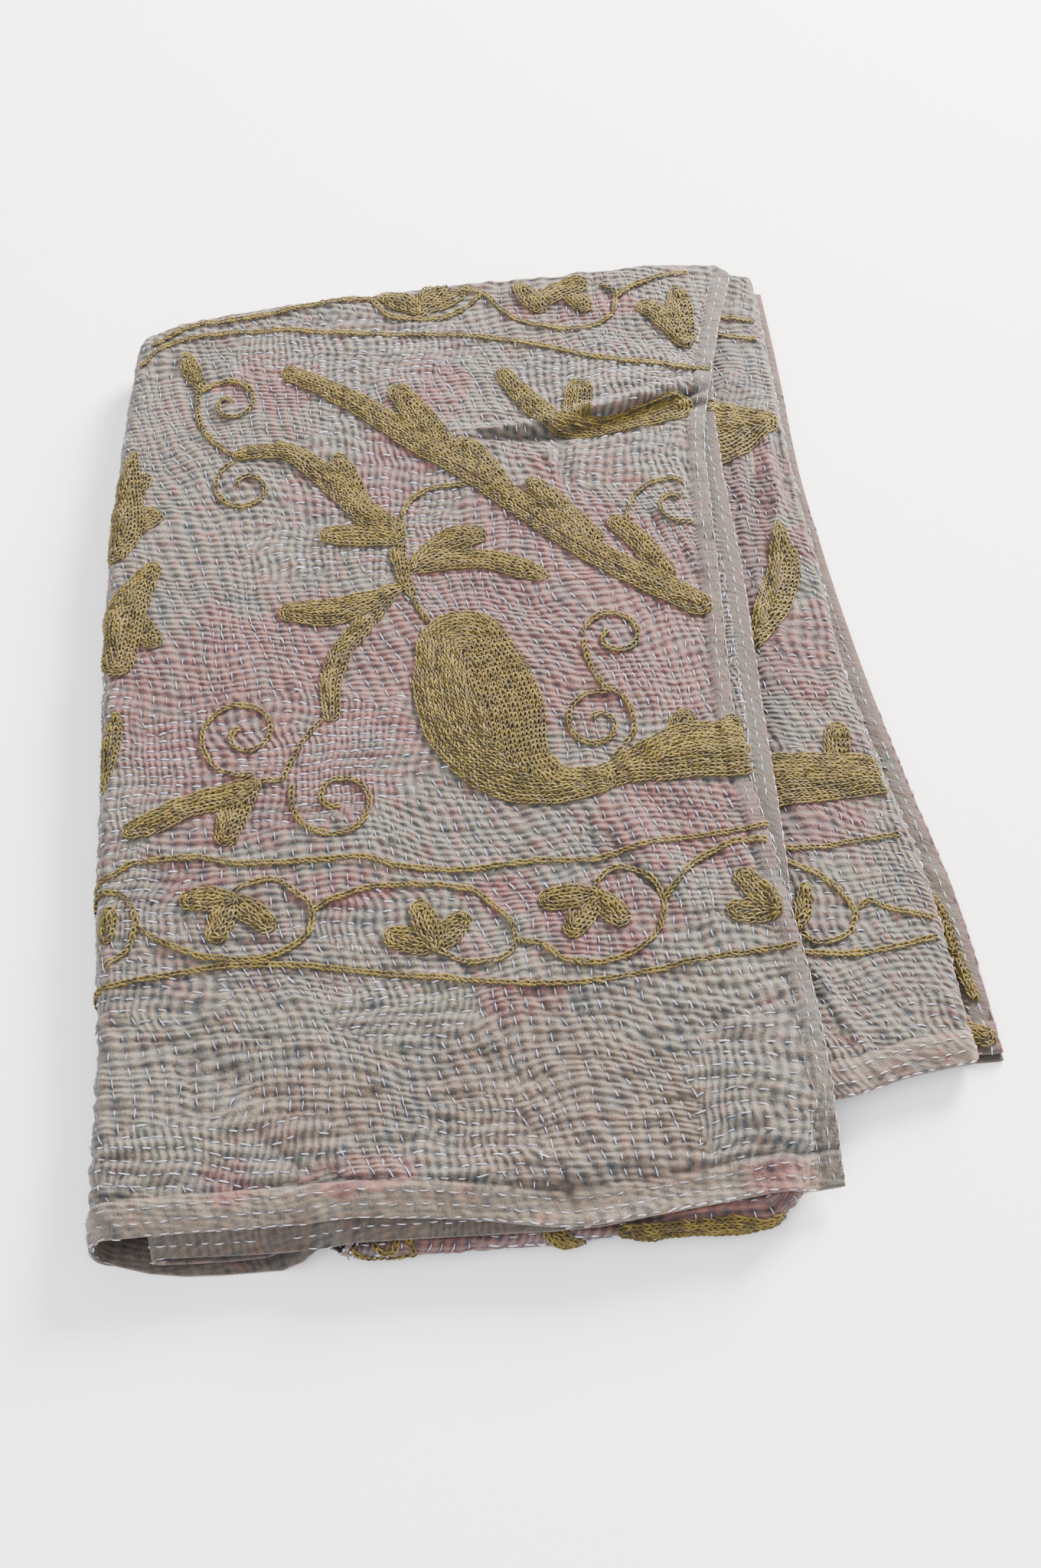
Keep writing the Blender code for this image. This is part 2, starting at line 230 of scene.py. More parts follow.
def height(run, ply, x, y, way):
    """Middle of a ply above the floor, from what lies under it there."""
    a, b = ply_gap(x), fold_gap(x)
    lifted = RELIEF_SHARE[run][ply] * relief(x, y)
    if run == 3:
        return FLOOR_PLY + (a if ply else 0.0) + lifted
    if run == 2:
        return FLOOR_PLY + a + b + (0.0 if ply else a) + lifted
    if run == 1:
        low = side("low_fold", way)
        climb_start = low - mix(*CLIMB, ease(0.0, CLIMB_CHANGE, way))
        climbed = 2 * (a + b) * ease(climb_start, low - CLIMB_END, x)
        edge = front("third", x)
        droop = THIRD_DROOP * ease(*THIRD_DROOP_X, x) * ease(edge + THIRD_DROOP_REACH, edge, y)
        return FLOOR_PLY + climbed + (a if ply else 0.0) - droop + lifted * ease(0.0, CLIMB_FULL, climbed)
    carried_low = np.maximum(CORNER_HOLD, ease(*CARRIED_LOW, y - front("lower", x)))
    carried_up = ease(*CARRIED_UP, y - front("third", x))
    tuck = ease(*TUCK_Y, y) * turned_share(x)
    z = FLOOR_PLY + 2 * (a + b) * carried_low + (a + b) * carried_up + b * tuck + lifted
    if ply:
        return z - SECOND_DROOP * ease(*SECOND_DROOP_X, x) * ease(*SECOND_DROOP_Y, y)
    return z + a - TOP_DROOP * ease(*TOP_DROOP_Y, y)


def turned_up(x, way):
    """The lowest ply: flat from the back, then up round the front and back over the plies above it."""
    share = turned_share(x)
    radius = ply_gap(x) + fold_gap(x)
    angle = np.pi * share
    turn_y = front("lowest", x) + radius * np.sin(np.minimum(angle, np.pi / 2))
    back_y = through(BACK_FOLDS[3], x)
    flat_length = back_y - turn_y
    gone = (1.0 - way) * (flat_length + radius * angle + TUCK * share)
    past = np.maximum(gone - flat_length, 0.0)
    turned = np.minimum(past / radius, angle)
    straight = past - radius * turned
    y = np.where(gone <= flat_length, back_y - gone,
                 turn_y - radius * np.sin(turned) - straight * np.cos(turned))
    z = FLOOR_PLY + radius * (1.0 - np.cos(turned)) + straight * np.sin(turned)
    return y, z


def flat_points(run, ply, across, way):
    start, end = run_ends(run, ply, way)
    x = mix(start, end, across)
    if run == 3 and ply == 0:
        y, z = turned_up(x, way)
    else:
        y = mix(front(HEM_OF[run][ply], x), through(BACK_FOLDS[run], x), way)
        z = height(run, ply, x, y, way)
    return np.stack((x, y, z), -1)


def fold_points(run, ply, turn, way):
    """The fold that joins a run to the next one under it; turn goes from 0 to 1."""
    above = flat_points(run, ply, np.ones((1, 1)), way)
    below = flat_points(run + 1, ply, np.zeros((1, 1)), way)
    points = mix(above, below, ((1.0 - np.cos(np.pi * turn)) / 2)[..., None])
    points[..., 0] += (-LEFT_CURL[ply], RIGHT_FOLD[ply], -INNER_FOLD[ply])[run] * np.sin(np.pi * turn)
    return points


def split(base, counts):
    """The base values with each interval split evenly, and the place of each base value in the result."""
    fine = [np.linspace(base[k], base[k + 1], n, endpoint=False) for k, n in enumerate(counts)]
    return np.concatenate(fine + [[base[-1]]]), np.concatenate(([0], np.cumsum(counts)))


# The grid of the whole cloth: base lines, how finely each stretch is split, and what shows of each side
COLUMN_BASE = []
for run in range(RUNS):
    shares = [("run", run, share) for share in ACROSS[run]]
    COLUMN_BASE += shares
    if run < RUNS - 1:
        COLUMN_BASE += [("fold", run, step / FOLD_STEPS) for step in range(1, FOLD_STEPS)]
ROW_BASE = ([("first", way) for way in ALONG] + [("turn", step / FOLD_STEPS) for step in range(1, FOLD_STEPS)]
            + [("second", way) for way in reversed(ALONG)])
BACK_ROW = len(ALONG) - 1
SECOND_ROW = BACK_ROW + FOLD_STEPS
RUN_FIRST = np.cumsum([0] + [len(a) + FOLD_STEPS - 1 for a in ACROSS[:-1]])


def column_counts():
    """How many cells each stretch between two base columns takes."""
    counts = []
    for (kind, run, share), (next_kind, next_run, next_share) in zip(COLUMN_BASE, COLUMN_BASE[1:]):
        if kind == "fold" or next_kind == "fold":
            counts.append(FOLD_CELLS[min(run, next_run)])
            continue
        width = (next_share - share) * RUN_WIDTH[run]
        seen = run in (0, 3) or (run == 1 and share >= SEEN_FROM)
        counts.append(math.ceil(width / FINE_ACROSS[0 if run == 0 else 1]) if seen else 1)
    return counts


def row_counts():
    """How many cells each stretch between two base rows takes."""
    counts = []
    for start, end in zip(ROW_BASE, ROW_BASE[1:]):
        if "turn" in (start[0], end[0]):
            counts.append(TURN_CELLS)
            continue
        length = abs(end[1] - start[1]) * PLY_LENGTH
        counts.append(math.ceil(length / FINE_ALONG[0 if start[0] == "first" else 1]))
    return counts


def cloth_grid(columns, rows):
    """The middle of the cloth as points [column, row], from finely split base lines."""
    ways = {"first": [], "second": []}
    turns = []
    for k, value in enumerate(rows):
        if value <= BACK_ROW:
            ways["first"].append(np.interp(value, np.arange(BACK_ROW + 1), ALONG))
        elif value >= SECOND_ROW:
            ways["second"].append(np.interp(SECOND_ROW + BACK_ROW - value, np.arange(BACK_ROW + 1), ALONG))
        else:
            turns.append((value - BACK_ROW) / FOLD_STEPS)
    plies = []
    for ply, name in enumerate(("first", "second")):
        way = np.array(ways[name])[None, :]
        blocks = []
        for run in range(RUNS):
            first, last = RUN_FIRST[run], RUN_FIRST[run] + len(ACROSS[run]) - 1
            here = columns[(columns >= first) & (columns <= last)]
            shares = np.interp(here, np.arange(first, last + 1), ACROSS[run])
            blocks.append(flat_points(run, ply, shares[:, None], way))
            if run < RUNS - 1:
                here = columns[(columns > last) & (columns < last + FOLD_STEPS)]
                blocks.append(fold_points(run, ply, ((here - last) / FOLD_STEPS)[:, None], way))
        plies.append(np.concatenate(blocks))
    first_end, second_start = plies[0][:, -1:], plies[1][:, :1]
    middle, half = (first_end + second_start) / 2, (first_end - second_start) / 2
    angle = np.pi * np.array(turns)[None, :, None]
    back = middle + half * np.cos(angle)
    back[..., 1] += (np.linalg.norm(half, axis=-1) * np.sin(angle[..., 0]))
    return np.concatenate((plies[0], back, plies[1]), axis=1)


def normals_of(points):
    return unit(np.cross(np.gradient(points, axis=1), np.gradient(points, axis=0)))


COLUMNS, COLUMN_AT = split(np.arange(len(COLUMN_BASE), dtype=float), column_counts())
ROWS, ROW_AT = split(np.arange(len(ROW_BASE), dtype=float), row_counts())
RUN_SPAN = [slice(COLUMN_AT[first], COLUMN_AT[first + len(a) - 1] + 1) for first, a in zip(RUN_FIRST, ACROSS)]
MIDDLE = cloth_grid(COLUMNS, ROWS)
COARSE = cloth_grid(np.arange(len(COLUMN_BASE), dtype=float), np.arange(len(ROW_BASE), dtype=float))
CENTRE = (COARSE[..., :2].reshape(-1, 2).min(0) + COARSE[..., :2].reshape(-1, 2).max(0)) / 2
MIDDLE[..., :2] -= CENTRE
NORMALS = normals_of(MIDDLE)


# Lengths along the cloth, so that a pattern runs on over its folds
COLUMN_RUN0_END = COLUMN_AT[len(ACROSS[0]) - 1]
BACK = ROW_AT[BACK_ROW]


def travelled(points, axis):
    """Length along the grid lines from their first point."""
    steps = np.linalg.norm(np.diff(points, axis=axis), axis=-1)
    start = np.zeros_like(np.take(steps, [0], axis=axis))
    return np.concatenate((start, np.cumsum(steps, axis=axis)), axis=axis)


PAST_COLUMNS, PAST_ROWS = travelled(MIDDLE, 0), travelled(MIDDLE, 1)
U = MIDDLE[COLUMN_RUN0_END, :, 0][None, :] - (PAST_COLUMNS - PAST_COLUMNS[COLUMN_RUN0_END][None, :])
V = MIDDLE[:, BACK, 1][:, None] + PAST_ROWS - PAST_ROWS[:, BACK][:, None]
FROM_FRONT = np.minimum(PAST_ROWS, PAST_ROWS[:, -1:] - PAST_ROWS)
FROM_SIDE = np.minimum(PAST_COLUMNS, PAST_COLUMNS[-1:, :] - PAST_COLUMNS)

# The rows of running stitches run sideways in some patches (centre, half sizes) and front to back elsewhere
SIDEWAYS_PATCHES = (
    (-0.085, 0.289, 0.082, 0.033), (-0.080, 0.160, 0.057, 0.066), (-0.138, 0.113, 0.028, 0.025),
    (0.086, 0.247, 0.065, 0.032), (0.094, 0.173, 0.053, 0.024), (-0.151, -0.047, 0.113, 0.047),
    (-0.235, -0.142, 0.030, 0.028), (-0.094, -0.163, 0.048, 0.018), (-0.226, -0.198, 0.038, 0.022),
    (-0.081, -0.226, 0.042, 0.024), (-0.190, -0.304, 0.073, 0.022), (-0.049, -0.310, 0.039, 0.027),
    (0.122, -0.296, 0.043, 0.051), (-0.300, -0.050, 0.060, 0.110), (-0.310, 0.200, 0.050, 0.060),
)
# One stitch on, and one row on, for the rows that run sideways and for those that run front to back
SIDEWAYS_STEPS = ((0.0100, -3.0), (0.0072, 87.0))
LENGTHWAYS_STEPS = ((0.0096, -74.0), (0.0088, -4.0))

# Length and size of the drift of the rows, and of the edges between the two ways of sewing
SLOW_DRIFT, QUICK_DRIFT, EDGE_DRIFT = (0.150, 0.0065), (0.045, 0.0018), (0.030, 0.10)
OFF_TOP_X, OFF_TOP_Y, OFF_TOP_DRIFT, OFF_TOP_SHARE = (-0.27, -0.31), (0.36, 0.40), (0.09, 0.55), 0.25
EDGE_SOFT = (-0.16, 0.14)
OUTSIDE = -4.0

# Small puckers of the upper face, in the columns of CREASES
PUCKERS = (
    (0.086, 0.225, 0.056, 0.0080, 12, 0.0075),
    (0.088, 0.211, 0.052, 0.0045, 12, -0.0060),
    (0.122, 0.2385, 0.036, 0.0065, 17, 0.0052),
    (0.122, 0.2270, 0.040, 0.0036, 17, -0.0050),
    (0.020, 0.2020, 0.034, 0.0036, 0, -0.0044),
    (0.020, 0.2110, 0.034, 0.0070, 0, 0.0030),
    (0.055, 0.181, 0.032, 0.0045, 86, 0.0026),
    (0.043, 0.178, 0.034, 0.0040, 86, -0.0024),
    (-0.182, -0.206, 0.015, 0.0030, 38, 0.0020),
    (-0.212, -0.229, 0.024, 0.0030, 0, -0.0020),
    (-0.164, -0.233, 0.015, 0.0030, -11, -0.0019),
    (-0.246, -0.281, 0.014, 0.0032, 38, -0.0026),
    (-0.250, -0.300, 0.010, 0.0030, 5, -0.0024),
    (-0.151, -0.308, 0.011, 0.0030, -41, -0.0022),
    (-0.122, -0.321, 0.015, 0.0030, -11, -0.0022),
    (-0.066, -0.256, 0.016, 0.0030, -21, -0.0019),
    (-0.072, -0.292, 0.018, 0.0030, 6, -0.0020),
    (-0.209, -0.257, 0.010, 0.0030, -77, -0.0020),
    (-0.024, -0.224, 0.013, 0.0030, 25, -0.0024),
    (0.001, -0.229, 0.012, 0.0030, -50, -0.0024),
    (-0.033, -0.247, 0.012, 0.0030, 23, -0.0020),
    (0.001, -0.329, 0.012, 0.0035, -79, -0.0027),
    (0.115, -0.237, 0.023, 0.0040, 13, -0.0020),
    (0.062, -0.290, 0.015, 0.0030, 7, -0.0017),
    (0.036, -0.110, 0.013, 0.0030, -82, -0.0027),
    (0.049, -0.121, 0.011, 0.0035, -63, -0.0031),
    (0.067, -0.149, 0.016, 0.0040, -51, -0.0031),
    (0.123, -0.101, 0.009, 0.0030, -82, -0.0020),
    (0.101, -0.174, 0.011, 0.0030, 5, -0.0024),
    (-0.156, 0.003, 0.014, 0.0030, 7, -0.0014),
    (-0.079, -0.106, 0.021, 0.0030, 10, 0.0015),
    (-0.171, -0.171, 0.027, 0.0030, -2, -0.0020),
    (0.003, 0.205, 0.022, 0.0040, -2, -0.0034),
    (0.067, 0.218, 0.014, 0.0040, -1, -0.0034),
    (0.105, 0.221, 0.016, 0.0040, 11, -0.0034),
    (0.035, 0.184, 0.015, 0.0030, -75, 0.0026),
    (0.047, 0.170, 0.017, 0.0030, -84, -0.0034),
    (0.102, 0.124, 0.017, 0.0030, -78, -0.0026),
    (0.118, 0.096, 0.015, 0.0030, -79, -0.0026),
)
SIDE_PUCKERS = (
    (0.158, 0.080, 0.190, 0.0050, 89, -0.0030),
    (0.190, 0.168, 0.046, 0.0075, 86, 0.0052),
    (0.176, 0.165, 0.050, 0.0045, 86, -0.0040),
    (0.206, 0.150, 0.034, 0.0045, 82, -0.0036),
    (0.172, -0.235, 0.040, 0.0060, -66, 0.0034),
    (0.205, -0.010, 0.030, 0.0060, 70, 0.0030),
    (0.198, 0.185, 0.030, 0.0036, 92, -0.0052),
    (0.169, 0.206, 0.030, 0.0042, 74, -0.0050),
    (0.158, 0.232, 0.028, 0.0060, 60, 0.0036),
    (0.186, 0.120, 0.040, 0.0060, 78, 0.0030),
    (0.172, 0.060, 0.050, 0.0045, 84, -0.0032),
    (0.212, 0.085, 0.030, 0.0050, 66, 0.0026),
    (0.174, 0.168, 0.017, 0.0050, 89, -0.0041),
    (0.167, 0.107, 0.032, 0.0050, 80, -0.0041),
    (0.194, 0.178, 0.012, 0.0040, 89, -0.0034),
    (0.197, 0.156, 0.006, 0.0040, -59, -0.0027),
    (0.190, -0.289, 0.008, 0.0030, -80, -0.0024),
)

# Hems: how deep the turned bands are, and how high the quilting stands between its rows
FRONT_BAND, SIDE_BAND = 0.020, 0.012
PUFF = 0.0012
# Gathers that the quilting draws sideways, strongest in the plain end of the cloth
GATHER_LENGTH, GATHER_RISE, GATHER_STRETCH = 0.0125, 0.0009, 0.24
LIP, DEEPEST = 1.2, 0.0017
HEM_BODY, HEM_GROOVE, GROOVE_HALF, BAND_SOFT = 0.0012, 0.0016, 0.0016, 0.001
BAND_PUFF = 0.15
# Share of the quilting's height along the rows, and how the gathers grow towards the plain end
ALONG_SHARE = 0.55
GATHER_LEAST, GATHER_GROWS = 0.35, (-0.17, -0.23)
UNDULATIONS = ((0.024, 0.00045, 61), (0.012, 0.00022, 62))


def wander(u, v, wavelength, size, seed):
    """A smooth, uneven field of about that wavelength and size."""
    rng = np.random.default_rng(seed)
    total = 0.0
    for k in range(6):
        turn, start = rng.uniform(0.0, 2 * np.pi, 2)
        reach = 2 * np.pi / (wavelength * rng.uniform(0.7, 1.5))
        total = total + np.sin(reach * (u * np.cos(turn) + v * np.sin(turn)) + start)
    return total * size / 2.4


def stitch_places(u, v, steps, seed):
    """Counts stitches along their rows, and rows; whole numbers are the middle of a stitch."""
    (along, along_turn), (over, over_turn) = steps
    base = np.array(((along * math.cos(math.radians(along_turn)), over * math.cos(math.radians(over_turn))),
                     (along * math.sin(math.radians(along_turn)), over * math.sin(math.radians(over_turn)))))
    inverse = np.linalg.inv(base)
    uneven_u = u + wander(u, v, *SLOW_DRIFT, seed) + wander(u, v, *QUICK_DRIFT, seed + 1)
    uneven_v = v + wander(u, v, *SLOW_DRIFT, seed + 2) + wander(u, v, *QUICK_DRIFT, seed + 3)
    return (inverse[0, 0] * uneven_u + inverse[0, 1] * uneven_v,
            inverse[1, 0] * uneven_u + inverse[1, 1] * uneven_v)


def inside(table, u, v):
    """How far inside the nearest of a list of ellipses each place is: 1 at its middle, 0 at its edge."""
    nearest = np.full(u.shape, OUTSIDE)
    for cx, cy, rx, ry in table:
        nearest = np.maximum(nearest, 1.0 - np.sqrt(((u - cx) / rx) ** 2 + ((v - cy) / ry) ** 2))
    return nearest


def sideways_share(u, v):
    """1 where the rows run sideways, 0 where they run front to back."""
    off_top = np.maximum(ease(*OFF_TOP_X, u), ease(*OFF_TOP_Y, v))
    drift = wander(u, v, *OFF_TOP_DRIFT, 31) - OFF_TOP_SHARE
    nearest = np.maximum(inside(SIDEWAYS_PATCHES, u, v), mix(OUTSIDE, drift, off_top))
    return ease(*EDGE_SOFT, nearest + wander(u, v, *EDGE_DRIFT, 32))


SIDEWAYS = sideways_share(U, V)
A1, B1 = stitch_places(U, V, SIDEWAYS_STEPS, 41)
A2, B2 = stitch_places(U, V, LENGTHWAYS_STEPS, 51)
IN_SIDE_BAND = ease(SIDE_BAND + BAND_SOFT, SIDE_BAND - BAND_SOFT, FROM_SIDE)
BAND = np.maximum(ease(FRONT_BAND + BAND_SOFT, FRONT_BAND - BAND_SOFT, FROM_FRONT), IN_SIDE_BAND)
GROOVE = np.maximum(np.exp(-((FROM_FRONT - FRONT_BAND - BAND_SOFT) / GROOVE_HALF) ** 2),
                    np.exp(-((FROM_SIDE - SIDE_BAND - BAND_SOFT) / GROOVE_HALF) ** 2))


def puffs(a, b):
    """Height of the quilting from 0 at a stitch to 1 midway between stitches."""
    along = 0.5 + 0.5 * np.cos(4 * np.pi * a)
    over = 0.5 - 0.5 * np.cos(2 * np.pi * b)
    return mix(over, along, ALONG_SHARE)


def puckered():
    """Height of the small puckers, each on the panel that it is charted for."""
    x, y = MIDDLE[..., 0], MIDDLE[..., 1]
    rise = np.zeros_like(x)
    top = (slice(0, COLUMN_AT[len(ACROSS[0]) + 1]), slice(0, BACK + 1))
    second = (slice(COLUMN_AT[RUN_FIRST[1]], COLUMN_AT[RUN_FIRST[1] + len(ACROSS[1])]),
              slice(ROW_AT[SECOND_ROW], None))
    for part, table in ((top, PUCKERS), (second, SIDE_PUCKERS)):
        rise[part] = creased(table, x[part], y[part], LIP)
    return rise


PUCKERED = puckered()


def face_relief():
    """How far the cloth's face stands out from its middle, beyond half its thickness."""
    quilted = mix(puffs(A2, B2), puffs(A1, B1), SIDEWAYS)
    rise = PUFF * (quilted - 0.5) * mix(1.0, BAND_PUFF, BAND)
    rise += sum(wander(U, V, *undulation) for undulation in UNDULATIONS)
    gathers = wander(U * GATHER_STRETCH, V, GATHER_LENGTH, GATHER_RISE, 63)
    rise += gathers * mix(GATHER_LEAST, 1.0, ease(*GATHER_GROWS, V)) * (1.0 - BAND)
    rise += HEM_BODY * BAND - HEM_GROOVE * GROOVE
    return np.maximum(rise + PUCKERED, -DEEPEST)


# Base columns and rows of what shows: past the left curl, the second run from under the top one, the last
# stretches of the lowest run, its turned-up front, the strip by the right hem, and the inside at the front
CURL_COLUMNS, SECOND_FROM, LAST_STRETCHES, TURNED_ROWS, STRIP_COLUMNS, INSIDE_ROWS = 2, 12, 2, 6, 2, 3


def shown_cells():
    """Which base cells show, and so are finely split, on the cloth's face and on its wrong side."""
    face, wrong = np.zeros((2, len(COLUMN_BASE) - 1, len(ROW_BASE) - 1), bool)
    face[:RUN_FIRST[1] + CURL_COLUMNS, :SECOND_ROW] = True
    face[RUN_FIRST[1] + SECOND_FROM:RUN_FIRST[2] + 1, BACK_ROW:] = True
    face[RUN_FIRST[3] + len(ACROSS[3]) - LAST_STRETCHES:, BACK_ROW:] = True
    face[RUN_FIRST[3] - 1:, :TURNED_ROWS] = True
    wrong[:STRIP_COLUMNS, BACK_ROW:] = True
    wrong[:RUN_FIRST[1] + 1, -INSIDE_ROWS:] = True
    edges = face | wrong
    for index in ((slice(None), 0), (slice(None), -1), (0, slice(None)), (-1, slice(None))):
        face[index] = wrong[index] = edges[index]
    return face, wrong


def walk(at, fine):
    """Grid lines along a border: every one where it is finely split, else the base lines."""
    return [n for start, end, split_here in zip(at, at[1:], fine)
            for n in range(start, end, (1 if end > start else -1) if split_here else end - start)]


def make_sheet(name, face_points, wrong_points, rim_points, shown):
    """One closed mesh of both sides and the rim: fine quads where it shows, and one polygon elsewhere."""
    columns, rows = face_points.shape[:2]
    total = columns * rows
    sides = []
    for offset, mask in ((0, shown[0]), (total, shown[1])):
        faces = []
        index = np.arange(total).reshape(columns, rows) + offset
        beside = np.pad(mask, 1)
        for (k, m), fine in np.ndenumerate(mask):
            i0, i1 = COLUMN_AT[k], COLUMN_AT[k + 1]
            j0, j1 = ROW_AT[m], ROW_AT[m + 1]
            if fine:
                cell = index[i0:i1 + 1, j0:j1 + 1]
                quads = np.stack((cell[:-1, :-1], cell[:-1, 1:], cell[1:, 1:], cell[1:, :-1]), -1)
                faces += quads.reshape(-1, 4).tolist()
                continue
            ring = list(index[i0, j0:j1:1 if beside[k, m + 1] else j1 - j0])
            ring += list(index[i0:i1:1 if beside[k + 1, m + 2] else i1 - i0, j1])
            ring += list(index[i1, j1:j0:-1 if beside[k + 2, m + 1] else j0 - j1])
            ring += list(index[i1:i0:-1 if beside[k + 1, m] else i0 - i1, j0])
            faces.append([int(v) for v in ring])
        sides.append(faces)
    mask = shown[0]
    ring = [(0, j) for j in walk(ROW_AT, mask[0])]
    ring += [(i, rows - 1) for i in walk(COLUMN_AT, mask[:, -1])]
    ring += [(columns - 1, j) for j in walk(ROW_AT[::-1], mask[-1, ::-1])]
    ring += [(i, 0) for i in walk(COLUMN_AT[::-1], mask[::-1, 0])]
    rim = []
    for (i, j), (p, q) in zip(ring, ring[1:] + ring[:1]):
        a, b = i * rows + j, p * rows + q
        rim.append((b, a, a + 2 * total, b + 2 * total))
        rim.append((b + 2 * total, a + 2 * total, a + total, b + total))
    points = np.concatenate([p.reshape(-1, 3) for p in (face_points, wrong_points, rim_points)])
    faces = sides[0] + [face[::-1] for face in sides[1]] + rim
    used = np.array(sorted({v for face in faces for v in face}))
    renumber = dict(zip(used.tolist(), range(len(used))))
    mesh = bpy.data.meshes.new(name)
    mesh.from_pydata(points[used].tolist(), [], [[renumber[v] for v in face] for face in faces])
    mesh.shade_smooth()
    return mesh, used


def outward_at_rim(points):
    """Unit steps that point out of the cloth at its four edges."""
    out = np.zeros_like(points)
    out[0] += points[0] - points[1]
    out[-1] += points[-1] - points[-2]
    out[:, 0] += points[:, 0] - points[:, 1]
    out[:, -1] += points[:, -1] - points[:, -2]
    return unit(out)


RIM_ROUND = 0.4
FACE = MIDDLE + NORMALS * (CLOTH / 2 + face_relief())[..., None]
WRONG = MIDDLE - NORMALS * (CLOTH / 2)
WRONG[..., 2] = np.maximum(WRONG[..., 2], 0.0)
FACE[..., 2] = np.maximum(FACE[..., 2], 0.0)
RIM = MIDDLE + outward_at_rim(MIDDLE) * CLOTH * RIM_ROUND
SHOWN = shown_cells()
cloth_mesh, CLOTH_USED = make_sheet("quilt_cloth", FACE, WRONG, RIM, SHOWN)
cloth = bpy.data.objects.new("quilt_cloth", cloth_mesh)
bpy.context.scene.collection.objects.link(cloth)


# Dye patches in plan: centre and half sizes
ROSE = (
    (-0.155, -0.007, 0.097, 0.087), (0.027, 0.069, 0.096, 0.105), (0.097, -0.110, 0.056, 0.032),
    (0.041, -0.169, 0.044, 0.028), (-0.044, 0.253, 0.032, 0.028), (-0.121, 0.164, 0.026, 0.020),
    (-0.074, 0.173, 0.031, 0.040), (-0.012, 0.091, 0.046, 0.038), (0.169, 0.141, 0.021, 0.059),
    (-0.186, -0.317, 0.017, 0.013), (-0.114, -0.319, 0.034, 0.013),
    (0.125, -0.337, 0.019, 0.013), (-0.011, -0.220, 0.027, 0.015),
    (0.112, 0.040, 0.052, 0.088), (-0.085, 0.020, 0.045, 0.040), (-0.180, -0.085, 0.050, 0.022),
    (-0.120, -0.140, 0.030, 0.014), (0.190, 0.020, 0.030, 0.035), (0.176, 0.165, 0.030, 0.034),
    (0.152, 0.090, 0.020, 0.060), (0.170, -0.108, 0.040, 0.024),
    (0.213, 0.105, 0.022, 0.018), (0.208, 0.048, 0.018, 0.012),
    (-0.150, 0.265, 0.040, 0.026), (0.060, 0.320, 0.050, 0.014), (-0.020, -0.150, 0.024, 0.014),
    (-0.205, -0.125, 0.024, 0.012), (-0.240, 0.010, 0.022, 0.040),
)
RUST = ((-0.012, -0.281, 0.052, 0.051), (-0.142, -0.276, 0.039, 0.028), (0.056, -0.296, 0.026, 0.041))


PATCH_SOFT, PATCH_DRIFT, PATCH_FRAY = (-0.28, 0.26), (0.050, 0.12), (0.016, 0.07)
# Painted shade, darkening the colour where shade falls: a trough's depth at full painted shade, the hem
# groove's share, and each run that lies under a hem, with that hem and how far the painted shade reaches from
# it; then the painted shade inside at the front, and the rim's share
FULL_SHADE, GROOVE_SHADE = 0.0032, 0.5
SHADED_UNDER_HEMS = ((0, "top_hem", 0.013), (1, "second_hem", 0.026))
INSIDE_SHADE, INSIDE_REACH, INSIDE_RIGHT, RIM_SHADE = 0.85, (0.09, 0.05), 0.1, 0.5
# The piped edge, the plain end without rosy streaks, and where the side band shows smooth
PIPING_WIDTH, PLAIN_END = (0.0022, 0.0012), (-0.190, -0.235)
SMOOTH_LEAST, SMOOTH_FROM = 0.35, (-0.16, 0.02)
WRONG_ROSE, WRONG_RUST = 0.25, 0.2
STITCH_TURN = (0.5, 0.0, 0.0)


def patches(table, x, y, seed):
    """1 inside a list of ellipses, 0 outside, with a soft and uneven edge."""
    return ease(*PATCH_SOFT, inside(table, x, y) + wander(x, y, *PATCH_DRIFT, seed)
                + wander(x, y, *PATCH_FRAY, seed + 1))


def stacked(*fields):
    return np.stack(np.broadcast_arrays(*fields), -1)


